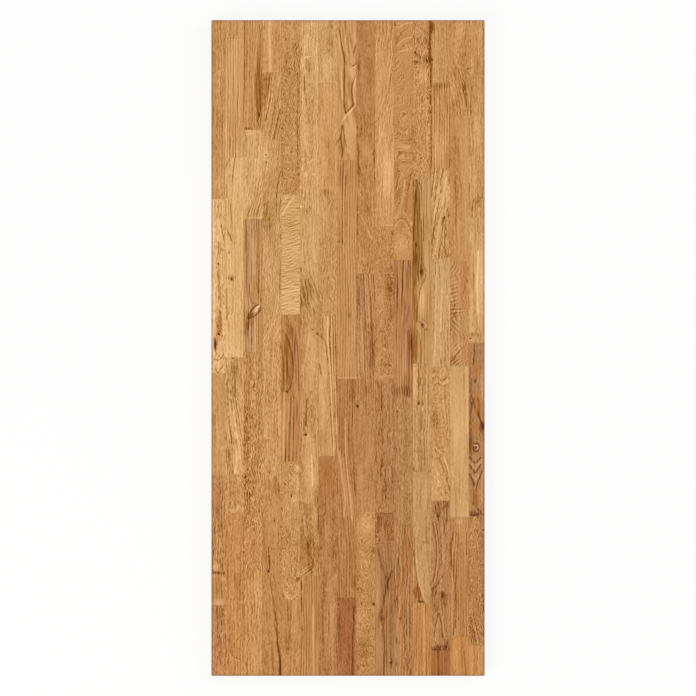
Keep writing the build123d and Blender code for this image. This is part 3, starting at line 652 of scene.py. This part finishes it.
        line(-0.55, 1.4, (190, 30), (150, 28)), patch(-0.35, 26, 160, 9, 90),
        knot(3.4, 22, 2.4, 2.0, halo=0.5), patch(0.45, 6, 33, 5, 5), patch(0.3, 16, 30, 14, 7),
        line(0.35, 1.0, (200, 10), (100, 12)), shade=0.08, red=-0.12, crisp=0.92),
    stave(403, "nut", "soft", line(1.0, 1.8, (10, 12), (-15, 13), (-36, 10)), flush(1.4, 17, -52, 6, 16),
        patch(0.8, 14, -76, 4, 5), flush(1.2, 20, -130, 9, 26),
        line(1.1, 1.5, (-118, 11), (-135, 12), (-142, 18)),
        line(1.1, 1.5, (-115, 21), (-135, 24), (-160, 22)),
        line(1.2, 1.8, (-148, 20), (-165, 26), (-178, 31)), knot(33, -182, 3.6, 7, halo=0.8),
        line(1.0, 1.3, (-170, 28), (-190, 27), (-196, 32)), patch(0.5, 4, -150, 5, 130),
        flush(0.9, 14, -185, 9, 16), knot(17, -231, 2.0, 2.6, core=1.0, halo=0.3),
        line(-2.0, 1.2, (-227, 15), (-226, 18.5), (-230, 21), (-235, 19.5)),
        line(1.1, 1.2, (-222, 15), (-222, 20), (-228, 24), (-236, 23), (-241, 18), (-238, 12.5), (-230, 11)),
        line(-0.5, 1.0, (-214, 14), (-215, 22), (-222, 29)), patch(0.5, 10, -225, 12, 22),
        line(1.1, 1.4, (-254, 2), (-262, 8), (-268, 14), (-262, 21), (-254, 28)),
        line(1.1, 1.4, (-272, 2), (-283, 9), (-290, 14), (-283, 20), (-270, 28)),
        line(-0.7, 1.4, (-262, 2), (-275, 9), (-280, 14), (-273, 21), (-260, 30)),
        line(1.1, 1.4, (-292, 1), (-305, 7), (-318, 12)),
        line(1.1, 1.4, (-285, 31), (-300, 25), (-318, 19), (-332, 15)),
        line(-0.6, 1.3, (-297, 9), (-305, 15), (-295, 22)),
        line(-0.8, 1.6, (-290, 34), (-320, 30), (-360, 30)), line(0.9, 1.3, (-340, 11), (-365, 11)),
        line(0.8, 1.3, (-340, 17), (-370, 18)), flush(0.9, 16, -345, 7, 24),
        line(1.1, 1.6, (-388, 2), (-389, 14), (-387, 24)), line(1.0, 1.3, (-374, 18), (-378, 26), (-388, 29)),
        patch(0.6, 12, -384, 14, 5), line(-0.5, 3.0, (-60, 30), (-120, 31)), shade=-0.08, red=-0.1,
        crisp=0.69, streak=0.32, fleck=0.58),
    stave(111, "caramel", "swirled", shade=-0.02, red=-0.05, crisp=1.26),
    stave(189, "caramel", "swirled", line(0.75, 1.2, (-622, 3), (-650, 9), (-685, 17)),
        line(0.75, 1.2, (-620, 11), (-650, 18), (-688, 25)), line(0.6, 1.1, (-640, 3), (-670, 9), (-690, 13)),
        line(0.5, 1.1, (-615, 16), (-640, 23), (-670, 29)),
        line(-0.5, 1.2, (-620, 7), (-650, 14), (-685, 21)), line(-0.4, 1.1, (-615, 19), (-640, 26)),
        patch(0.4, 31, -575, 4, 6), patch(0.6, 34, -600, 3, 12), flush(0.4, 16, -550, 13, 30), shade=0.01,
        streak=0.15, fleck=0.85, flow=((-502, 0), (-610, 3), (-691, 20))),
    stave(71, "amber", "plain", shade=-0.08, crisp=1.06, streak=0.44, fleck=0.29),
]]

# The shape of a stave


def hermite(points, y):
    """The value at each y of the curve through points (y, value). Between two points it is the cubic with the
    values and the slopes of both, where the slope at a point is its gradient over its neighbours. Past the
    ends it goes on level, and with no points it is 0."""
    if len(points) == 0:
        return np.zeros_like(y)
    at, value = np.array(sorted(points), dtype=float).T
    slope = np.gradient(value, at)
    i = np.clip(np.searchsorted(at, y) - 1, 0, len(at) - 2)
    gap = at[i + 1] - at[i]
    t = np.clip((y - at[i]) / gap, 0, 1)
    return ((1 + 2 * t) * (1 - t) ** 2 * value[i] + t * (1 - t) ** 2 * gap * slope[i]
            + t * t * (3 - 2 * t) * value[i + 1] + t * t * (t - 1) * gap * slope[i + 1])


def stations(low, high, step, low_steps, high_steps, extra=(), nearest=0.15):
    """Places from low to high: the given small steps in from both ends, even steps between them, and extras.
    A place nearer than nearest to the one before it is left out."""
    even = np.linspace(low + low_steps[-1], high - high_steps[-1], max(2, round((high - low) / step)))
    every = np.concatenate([[low, high], low + np.array(low_steps), high - np.array(high_steps), even, extra])
    every = np.unique(np.round(every[(every >= low) & (every <= high)], 2))
    return every[np.append(True, np.diff(every) > nearest)]


def sheet(grid, turn, keep):
    """Faces of a grid of points, using the rows in keep. The points that other rows have at the two ends go
    into the end faces as corners, so nothing comes open there. turn: -1 turns the faces over."""
    kept = grid[keep]
    quads = np.stack([kept[:-1, :-1], kept[1:, :-1], kept[1:, 1:], kept[:-1, 1:]], -1)
    if len(keep) == len(grid):
        return quads.reshape(-1, 4)[:, ::turn], []
    ends = []
    for a, b in zip(keep[:-1], keep[1:]):
        ends.append(np.append(grid[a:b + 1, 0], [grid[b, 1], grid[a, 1]])[::turn])
        ends.append(np.append(grid[a:b + 1, -1][::-1], [grid[a, -2], grid[b, -2]])[::turn])
    return quads[:, 1:-1].reshape(-1, 4)[:, ::turn], ends


def block_surface(xs, ys, zs, under, left_side, right_side):
    """The closed surface of a block as six grids, each of two of the three lists of places. Grids share the
    points along their edges, and each is turned so that its faces look outwards. under, left_side and
    right_side: the places along x, z and z that those three grids use. Gives the points, the corners of all
    faces in a row, and how many corners each face has."""
    index = np.arange(len(xs) * len(ys) * len(zs)).reshape(len(xs), len(ys), len(zs))
    every_x = np.arange(len(xs))
    sides = [sheet(index[:, :, -1], 1, every_x), sheet(index[:, :, 0], -1, under),
             sheet(index[-1].T, -1, right_side), sheet(index[0].T, 1, left_side),
             sheet(index[:, 0], 1, every_x), sheet(index[:, -1], -1, every_x)]
    quads = np.concatenate([side[0] for side in sides])
    others = [face for side in sides for face in side[1]]
    used, corners = np.unique(np.concatenate([quads.ravel(), *others]), return_inverse=True)
    sizes = np.array([4] * len(quads) + [len(face) for face in others])
    i, j, k = np.unravel_index(used, index.shape)
    return np.stack([xs[i], ys[j], zs[k]], 1), corners.ravel(), sizes


def ease(points):
    """Points of the square-edged top moved onto the eased one. Each point is measured from the nearest point
    of a core that is smaller by the radius on every side, and its distance becomes its largest component, so
    a square shell round the core becomes a round one and flat faces stay where they are."""
    half = np.array([WIDTH / 2, LENGTH / 2, THICKNESS / 2])
    middle = np.array([0, 0, THICKNESS / 2])
    core = np.clip(points - middle, EASED_EDGE - half, half - EASED_EDGE)
    out = points - middle - core
    length = np.linalg.norm(out, axis=1, keepdims=True)
    largest = np.abs(out).max(axis=1, keepdims=True)
    return middle + core + out * np.where(length > 0, largest / np.maximum(length, 1e-9), 1)


def path_through(points):
    """The x and y of points one path step apart on the smooth curve through points (y, x), where both follow
    hermite over the distance along the straight lines between the points."""
    y, x = np.array(points, dtype=float).T
    at = np.append(0, np.cumsum(np.hypot(np.diff(x), np.diff(y))))
    t = np.linspace(0, at[-1], max(3, round(at[-1] / PATH_STEP)))
    return hermite(list(zip(at, x)), t), hermite(list(zip(at, y)), t)


def mark_fields(marks, x, y):
    """Four values from the marks at each point: darker or paler, black, reddish, and how low the face lies.
    A line is a bell of the distance to its path, up to three widths from it. The other marks go by the
    distance from their middle in units of their half sizes. Patches fall off with its cube, and ripples are
    a sine wave in such a patch. A knot is all black within 0.6 and clear beyond 1.27, its halo is a bell 1.7
    wide, and its surface sinks by the square of a slope that ends at 1.18."""
    stain, black, red, low = (np.zeros_like(x) for _ in range(4))
    for mark in marks:
        if mark["kind"] == "line":
            path_x, path_y = path_through(mark["points"])
            faded = 3 * mark["width"]
            near = ((x > path_x.min() - faded) & (x < path_x.max() + faded)
                    & (y > path_y.min() - faded) & (y < path_y.max() + faded))
            off = np.hypot(x[near, None] - path_x, y[near, None] - path_y).min(axis=1)
            stain[near] += mark["depth"] * np.exp(-(off / mark["width"]) ** 2)
            continue
        dx, dy = x - mark["at"][0], y - mark["at"][1]
        dx = dx - mark["lean"] * dy
        q = np.hypot(dx / mark["size"][0], dy / mark["size"][1])
        soft = mark["depth"] * np.exp(-q ** 3)
        if mark["kind"] == "patch":
            stain += soft
        elif mark["kind"] == "flush":
            red += soft
        elif mark["kind"] == "ripple":
            stain += soft * np.sin(math.tau * (dy - mark["slope"] * dx) / mark["pitch"])
        else:
            black += mark["depth"] * np.clip(1.9 - 1.5 * q, 0, 1)
            stain += mark["halo"] * np.exp(-(q / 1.7) ** 2)
            low += mark["sink"] * np.clip(1.3 - 1.1 * q, 0, 1) ** 2
    return stain, np.clip(black, 0, 1), np.clip(red, 0, 1.5), low


def growth(one, points, middle_x, middle_y, left, seed):
    """Where each point of a stave lay in the log, in mm: how far from the pith, how far along the trunk, and
    how far round it, each from a random start. The grain's drift and a slow wander, a sine wave along the
    stave, are taken off x first. Near a knot x is drawn towards the knot's middle, by a bell of the distance
    from it, which sends the lines of growth round it."""
    x, y, z = points.T
    place = np.random.default_rng(seed)
    wander = place.uniform(0.6, 1.6) * np.sin(y / place.uniform(55, 90) + place.uniform(0, 6))
    x = x - hermite(one["flow"], y) - wander
    for mark in one["marks"]:
        if mark["kind"] == "knot":
            at_y = mark["at"][1]
            at_x = mark["at"][0] + left - hermite(one["flow"], np.array([at_y]))[0]
            dx, dy = x - at_x, y - at_y
            reach_x, reach_y = PULL_ACROSS * mark["size"][0], PULL_ALONG * mark["size"][1]
            x = at_x + dx * (1 - KNOT_PULL * np.exp(-(dx / reach_x) ** 2 - (dy / reach_y) ** 2))
    along = y - middle_y
    across = x - middle_x - one["pith"][0] - one["lean"][0] * along
    up = z - THICKNESS / 2 - one["pith"][1] - one["lean"][1] * along
    from_pith = np.hypot(across, up)
    round_it = np.arctan2(across, up) * math.hypot(*one["pith"])
    return np.stack([from_pith + place.uniform(0, 300), y + place.uniform(-3000, 3000),
                     round_it + place.uniform(0, 300)], 1)


def fine_rows(marks):
    """Places along a stave that need points close together: at its knots, ripples and slanted lines."""
    rows = []
    for mark in marks:
        if mark["kind"] == "knot":
            rows.extend(mark["at"][1] + KNOT_STEPS * mark["size"][1])
        elif mark["kind"] == "ripple":
            middle, half = mark["at"][1], mark["size"][1]
            rows.extend(np.arange(middle - half, middle + half, STEP_SLANTED))
        elif mark["kind"] == "line":
            path_x, path_y = path_through(mark["points"])
            if np.ptp(path_x) > SLANTED * np.ptp(path_y):
                rows.extend(np.arange(path_y.min() - MARGIN, path_y.max() + MARGIN, STEP_SLANTED))
    return rows


def make_stave(lane, number, one, left, right, near, far):
    """One stave as a mesh. Its attributes carry what its material reads: grain, the place in the log; marks,
    from mark_fields; figure, the strengths of its lines, streaks and flecks; silk, its turn, its curl and the
    width of its rings; and glue_line_and_edge_shade, its dark glue lines and the painted shade on its eased
    edges, where the painted shade is a bell of the distance along the surface."""
    ends = [far > LENGTH / 2 - TINY, near < TINY - LENGTH / 2]
    outer_left, outer_right = left < TINY - WIDTH / 2, right > WIDTH / 2 - TINY
    x_steps, y_steps = ([EASED_STEPS if outer else GLUED_STEPS for outer in pair]
                        for pair in ((outer_left, outer_right), ends[::-1]))
    xs = stations(left, right, STEP_ACROSS, *x_steps)
    ys = stations(near, far, STEP_ALONG, *y_steps, fine_rows(one["marks"]))
    outside = outer_left or outer_right or any(ends)
    zs = stations(0, THICKNESS, STEP_UP, EASED_STEPS, EASED_STEPS) if outside else np.array([0, THICKNESS])
    # The underside needs points across it only where its outer edge is eased, and a glued side none between
    # its top and its bottom
    rounded = ((outer_left & (xs < left + EASED_EDGE + TINY))
               | (outer_right & (xs > right - EASED_EDGE - TINY)))
    rounded[[0, -1]] = True
    all_z, two_z = np.arange(len(zs)), np.array([0, len(zs) - 1])
    points, corners, sizes = block_surface(
        xs, ys, zs, np.flatnonzero(rounded), all_z if outer_left else two_z, all_z if outer_right else two_z)
    stain, black, red, low = mark_fields(one["marks"], points[:, 0] - left, points[:, 1])
    # Marks fade with depth and are gone at the underside
    share = points[:, 2] / THICKNESS
    stain, black, red = stain * share + one["shade"], black * share, red * share + one["red"]
    wood = growth(one, points, (left + right) / 2, (near + far) / 2, left, 100 * lane + number)
    glue_line_and_edge_shade = np.zeros(len(points))
    from_face = np.minimum(points[:, 2], THICKNESS - points[:, 2])
    # Painted shade along the outer eased edges, and a dark line where the stave is glued to the next
    for distance, outer in ((points[:, 0] - left, outer_left), (right - points[:, 0], outer_right),
                            (points[:, 1] - near, ends[1]), (far - points[:, 1], ends[0])):
        painted_edge_shade = EDGE_SHADE * np.exp(-((distance + from_face) / EDGE_SHADE_REACH) ** 2)
        glue_line_and_edge_shade = np.maximum(glue_line_and_edge_shade, painted_edge_shade if outer else distance < TINY)
    on_top = points[:, 2] > THICKNESS - TINY
    points = ease(points)
    points[:, 2] -= np.where(on_top & (glue_line_and_edge_shade == 0), low, 0)

    name = f"lane_{lane:02d}_stave_{number}"
    mesh = bpy.data.meshes.new(name)
    mesh.vertices.add(len(points))
    mesh.vertices.foreach_set("co", (points * MM).astype(np.float32).ravel())
    mesh.loops.add(len(corners))
    mesh.loops.foreach_set("vertex_index", corners.astype(np.int32))
    mesh.polygons.add(len(sizes))
    mesh.polygons.foreach_set("loop_start", np.append(0, np.cumsum(sizes)[:-1]).astype(np.int32))
    mesh.polygons.foreach_set("use_smooth", np.ones(len(sizes), dtype=bool))
    mesh.update(calc_edges=True)
    mesh.set_sharp_from_angle(angle=SHARP_ANGLE)
    same = np.ones(len(points))
    figure = one["lines"], one["crisp"] * one["streak"], one["crisp"] * one["fleck"]
    for key, columns in (("grain", wood.T), ("marks", (stain, black, red)),
                         ("figure", [value * same for value in figure]),
                         ("silk", [one[value] * same for value in ("turn", "curl", "ring")])):
        layer = mesh.attributes.new(key, "FLOAT_VECTOR", "POINT")
        layer.data.foreach_set("vector", np.stack(columns, 1).astype(np.float32).ravel())
    mesh.attributes.new("glue_line_and_edge_shade", "FLOAT", "POINT").data.foreach_set("value", glue_line_and_edge_shade.astype(np.float32))
    mesh.materials.append(OAK[one["tone"]])
    piece = bpy.data.objects.new(name, mesh)
    bpy.context.collection.objects.link(piece)
    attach(piece, "root")
    return piece


# Materials


def channels(hex_colour):
    """The red, green and blue of an sRGB hex colour, from 0 to 255."""
    return [int(hex_colour[i:i + 2], 16) for i in (1, 3, 5)]


def linear(hex_colour):
    """An sRGB hex colour as linear red, green, blue and alpha."""
    srgb = [c / 255 for c in channels(hex_colour)]
    return tuple(c / 12.92 if c <= 0.04045 else ((c + 0.055) / 1.055) ** 2.4 for c in srgb) + (1.0,)


def moved(hex_colour, change):
    """The sRGB hex colour with the change added to its channels."""
    return "#" + "".join(f"{min(255, max(DARKEST, a + b)):02X}" for a, b in zip(channels(hex_colour), change))


def halfway(hex_colour, other):
    """The sRGB hex colour halfway between two."""
    return "#" + "".join(f"{(a + b) // 2:02X}" for a, b in zip(channels(hex_colour), channels(other)))


def add(tree, kind, inputs, stops=(), **settings):
    """Adds a node. inputs gives its sockets by name or place, each a value, a socket or a node, which stands
    for its first output. stops are the places and colours of its ramp."""
    node = tree.nodes.new("ShaderNode" + kind)
    for key, value in settings.items():
        setattr(node, key, value)
    for key, value in inputs.items():
        if isinstance(value, bpy.types.Node):
            value = value.outputs[0]
        if isinstance(value, bpy.types.NodeSocket):
            tree.links.new(value, node.inputs[key])
        else:
            node.inputs[key].default_value = value
    for i, (place, colour) in enumerate(stops):
        stop = node.color_ramp.elements[i] if i < 2 else node.color_ramp.elements.new(place)
        stop.position = place
        stop.color = linear(colour)
    return node


# The pores are drawn this many ring widths wide, and streaks and flecks this many long. Single pores are
# 0.3 mm wide and too fine to show
PORE, STREAK, FLECK = 0.37, 17.0, 1.5
# How far the noise of the streaks runs either way, and between what the broad noises run
STREAK_LOW, STREAK_HIGH = -0.35, 0.35
BROAD_LOW, BROAD_HIGH = 0.3, 0.7
# How far in mm the curls move the grain, and how many times as far the slow waves do
CURL_SHIFT, SLOW_SHARE = 12.0, 1.3
# Beyond this depth a mark leaves the colours of its tone
STRONG_MARK = 0.9
# What an extreme mark, end grain, a glue line and the painted shade of the eased edges look like
RUDDY, OLIVE, CHARRED, BLEACHED = "#B06A30", "#A8A080", "#5A2600", "#F4CFA2"
KNOT_CORE, END_GRAIN, GLUE_LINE_AND_EDGE_SHADE = "#4E2000", "#8A5A30", "#6B4424"


def oiled_oak(tone, body):
    """Sanded oak with a thin satin oil. Lines of growth and of open pores follow the rings as fine dark and
    pale lines, which run straight, arch or swirl as the log was sawn. The oil leaves the pores open, so the
    face has a soft and low sheen."""
    material = bpy.data.materials.new(f"oiled_oak_{tone}")
    material.use_nodes = True
    tree = material.node_tree
    tree.nodes.clear()
    grain, figure, silk, marks = (add(tree, "Attribute", {}, attribute_name=key).outputs["Vector"]
                                  for key in ("grain", "figure", "silk", "marks"))
    from_pith, along, round_it = add(tree, "SeparateXYZ", {0: grain}).outputs
    lines, streaks, flecks = add(tree, "SeparateXYZ", {0: figure}).outputs
    turn, curl, ring = add(tree, "SeparateXYZ", {0: silk}).outputs
    stain, black, red = add(tree, "SeparateXYZ", {0: marks}).outputs
    glue_line_and_edge_shade = add(tree, "Attribute", {}, attribute_name="glue_line_and_edge_shade").outputs["Fac"]

    # Waves in the grain: slow ones about 90 mm long, and curls about 22 mm long
    waves = []
    for across, length in ((40, 90), (34, 22)):
        scale = (1 / across, 1 / length, 1 / across)
        spot = add(tree, "VectorMath", {0: grain, 1: scale}, operation="MULTIPLY")
        waves.append(add(tree, "TexNoise", {"Vector": spot, "Scale": 1.0, "Detail": 1.0}))
    shift = add(tree, "Math", {0: waves[0], 1: SLOW_SHARE, 2: waves[1]}, operation="MULTIPLY_ADD")
    shift = add(tree, "Math", {0: shift, 1: CURL_SHIFT}, operation="MULTIPLY")
    shift = add(tree, "Math", {0: shift, 1: curl}, operation="MULTIPLY")
    shifted = add(tree, "Math", {0: from_pith, 1: shift}, operation="ADD")
    bent = add(tree, "CombineXYZ", {0: shifted, 1: along, 2: round_it})
    # The place in ring widths. Where rays show, the pattern lies across the stave
    bent = add(tree, "VectorRotate", {"Vector": bent, "Angle": turn}, rotation_type="Z_AXIS")
    per_ring = add(tree, "Math", {0: 1.0, 1: ring}, operation="DIVIDE")
    bent = add(tree, "VectorMath", {0: bent, "Scale": per_ring}, operation="SCALE")

    # Lines of growth, as a wave over the distance from the pith, that come and go over about 60 mm. The real
    # ones are 1 to 2 mm apart, and are drawn three times as far apart so that they show
    wave = add(tree, "SeparateXYZ", {0: bent})
    wave = add(tree, "Math", {0: wave, 1: math.tau}, operation="MULTIPLY")
    wave = add(tree, "Math", {0: wave}, operation="SINE")
    swell = add(tree, "VectorMath", {0: bent, 1: (0.6, 0.09, 0.6)}, operation="MULTIPLY")
    swell = add(tree, "TexNoise", {"Vector": swell, "Scale": 1.0, "Detail": 1.0})
    swell = add(tree, "MapRange", {"Value": swell, "From Min": BROAD_LOW, "From Max": BROAD_HIGH})
    wave = add(tree, "Math", {0: wave, 1: swell}, operation="MULTIPLY")
    # Long streaks, where pores run together, and short flecks. Both are the difference between a noise and
    # the same noise one pore further across, which leaves only the fine lines of it
    fine = []
    for length in (STREAK, FLECK):
        scale = (1 / PORE, 1 / length, 1 / PORE)
        sides = []
        for step in (0.0, PORE):
            spot = add(tree, "VectorMath", {0: bent, 1: (step, 0, 0)}, operation="ADD")
            spot = add(tree, "VectorMath", {0: spot, 1: scale}, operation="MULTIPLY")
            sides.append(add(tree, "TexNoise", {"Vector": spot, "Scale": 1.0, "Detail": 0.0}))
        fine.append(add(tree, "Math", {0: sides[0], 1: sides[1]}, operation="SUBTRACT"))
    streak, fleck = fine
    # Broad bands 2.6 ring widths across and 28 long, in which the wood is a little deeper or paler
    broad = add(tree, "VectorMath", {0: bent, 1: (0.38, 0.036, 0.38)}, operation="MULTIPLY")
    broad = add(tree, "TexNoise", {"Vector": broad, "Scale": 1.0, "Detail": 1.0})

    # Marks fray along the grain with the streaks, by half their depth either way
    fray = add(tree, "MapRange", {"Value": streak, "From Min": STREAK_LOW, "From Max": STREAK_HIGH,
                                  "To Min": 0.5, "To Max": 1.5})
    frayed = add(tree, "Math", {0: fray, 1: stain}, operation="MULTIPLY")

    # Depth of colour, from 0 for pale to 1 for deep: the bands about the middle, and each pattern times its
    # strength in this stave
    depth = add(tree, "MapRange", {"Value": broad, "From Min": BROAD_LOW, "From Max": BROAD_HIGH,
                                   "To Min": 0.43, "To Max": 0.57})
    for pattern, strength in ((wave, lines), (streak, streaks), (fleck, flecks), (frayed, 0.55)):
        depth = add(tree, "Math", {0: pattern, 1: strength, 2: depth}, operation="MULTIPLY_ADD")
    # Stops halfway keep the ramp straight in sRGB
    pale, deep = moved(body, PALER), moved(body, DEEPER)
    colour = add(tree, "ValToRGB", {0: depth}, stops=(
        (0.0, pale), (1.0, deep), (0.25, halfway(pale, body)), (0.5, body), (0.75, halfway(body, deep))))

    # The strongest marks go beyond both colours. Ends of staves show end grain, which drinks more oil. Glue
    # lines are dark, and the eased edges get painted shade in the same colour
    darkest = add(tree, "Math", {0: stain, 1: STRONG_MARK}, operation="SUBTRACT")
    palest = add(tree, "Math", {0: -STRONG_MARK, 1: stain}, operation="SUBTRACT")
    olive = add(tree, "Math", {0: 0.0, 1: red}, operation="SUBTRACT")
    facing = add(tree, "SeparateXYZ", {0: add(tree, "NewGeometry", {}).outputs["Normal"]}).outputs[1]
    end = add(tree, "Math", {0: facing}, operation="ABSOLUTE")
    for amount, strength, tint in (
            (red, 0.5, RUDDY), (olive, 0.5, OLIVE), (darkest, 0.5, CHARRED), (palest, 0.6, BLEACHED),
            (black, 0.95, KNOT_CORE), (end, 0.45, END_GRAIN), (glue_line_and_edge_shade, 0.4, GLUE_LINE_AND_EDGE_SHADE)):
        amount = add(tree, "Math", {0: amount, 1: strength}, operation="MULTIPLY", use_clamp=True)
        colour = add(tree, "Mix", {0: amount, 6: colour, 7: linear(tint)}, data_type="RGBA").outputs[2]
    height = add(tree, "Math", {0: fleck, 1: streak}, operation="ADD")
    dents = add(tree, "Bump", {"Strength": 0.3, "Distance": 0.1 * MM, "Height": height}, invert=True)
    satin = add(tree, "MapRange", {"Value": streak, "From Min": STREAK_LOW, "From Max": STREAK_HIGH,
                                   "To Min": 0.42, "To Max": 0.54})
    shader = add(tree, "BsdfPrincipled", {"Base Color": colour, "Roughness": satin, "IOR": 1.5,
                                          "Specular IOR Level": 0.12, "Normal": dents})
    add(tree, "OutputMaterial", {0: shader})
    return material


OAK = {tone: oiled_oak(tone, body) for tone, body in TONES.items()}

# The staves in place

full_lane = (WIDTH - LEFT_LANE - RIGHT_LANE) / (len(LANES) - 2)
left = -WIDTH / 2
for lane, staves in enumerate(LANES, start=1):
    right = left + (LEFT_LANE if lane == 1 else RIGHT_LANE if lane == len(LANES) else full_lane)
    far = LENGTH / 2
    for number, one in enumerate(staves, start=1):
        near = far - one["length"] if number < len(staves) else -LENGTH / 2
        piece = make_stave(lane, number, one, left, right, near, far)
        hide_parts(f"lane_{lane:02d}_{'odd' if number % 2 else 'even'}_staves")
        far = near
    left = right

# Floor, light and camera

REACH = 30.0
floor_mesh = bpy.data.meshes.new("floor")
floor_mesh.from_pydata([(-REACH, -REACH, 0), (REACH, -REACH, 0), (REACH, REACH, 0), (-REACH, REACH, 0)], [],
                       [(0, 1, 2, 3)])
floor = bpy.data.objects.new("floor", floor_mesh)
bpy.context.collection.objects.link(floor)

# The camera sees the paper as pure white with a small share of its own shading, which keeps the shadow
paper = bpy.data.materials.new("white_paper_floor")
paper.use_nodes = True
tree = paper.node_tree
tree.nodes.clear()
path = add(tree, "LightPath", {})
pure_share = add(tree, "Math", {0: path.outputs["Is Camera Ray"], 1: 0.85}, operation="MULTIPLY")
shaded = add(tree, "BsdfDiffuse", {0: linear("#F4F3F1")})
pure = add(tree, "Emission", {0: (1, 1, 1, 1), 1: 1.0})
add(tree, "OutputMaterial", {0: add(tree, "MixShader", {0: pure_share, 1: shaded, 2: pure})})
floor_mesh.materials.append(paper)

# A white studio, which lights the top with less than what the camera sees of it
world = bpy.data.worlds.new("studio")
world.use_nodes = True
tree = world.node_tree
tree.nodes.clear()
seen = add(tree, "LightPath", {}).outputs["Is Camera Ray"]
strength = add(tree, "MapRange", {"Value": seen, "To Min": 0.45, "To Max": 1.0})
add(tree, "OutputWorld", {0: add(tree, "Background", {0: (1, 1, 1, 1), 1: strength})})
bpy.context.scene.world = world

# Two soft square lamps that look at the middle of the top: where each stands in metres, its size and its
# power
for name, (x, y, z), size, power in (("key_light", (-3.2, -2.4, 3.6), 2.6, 160.0),
                                     ("fill_light", (3.4, 1.6, 3.2), 3.0, 98.0)):
    lamp = bpy.data.lights.new(name, "AREA")
    lamp.size, lamp.energy = size, power
    lamp_object = bpy.data.objects.new(name, lamp)
    lamp_object.location = (x, y, z)
    lamp_object.rotation_euler = (math.atan2(math.hypot(x, y), z), 0, math.atan2(y, x) + math.pi / 2)
    bpy.context.collection.objects.link(lamp_object)

# The camera looks straight down from so far that 696 pixels take in 1617 mm of the worked face
MM_PER_PIXEL, PIXELS = 2.3233, 696
camera = bpy.data.cameras.new("camera")
camera.lens, camera.sensor_width = 85.0, 36.0
camera_object = bpy.data.objects.new("camera", camera)
camera_object.location = (0, 0, (THICKNESS + MM_PER_PIXEL * PIXELS * camera.lens / camera.sensor_width) * MM)
bpy.context.collection.objects.link(camera_object)
bpy.context.scene.camera = camera_object
bpy.context.scene.view_settings.view_transform = "Standard"
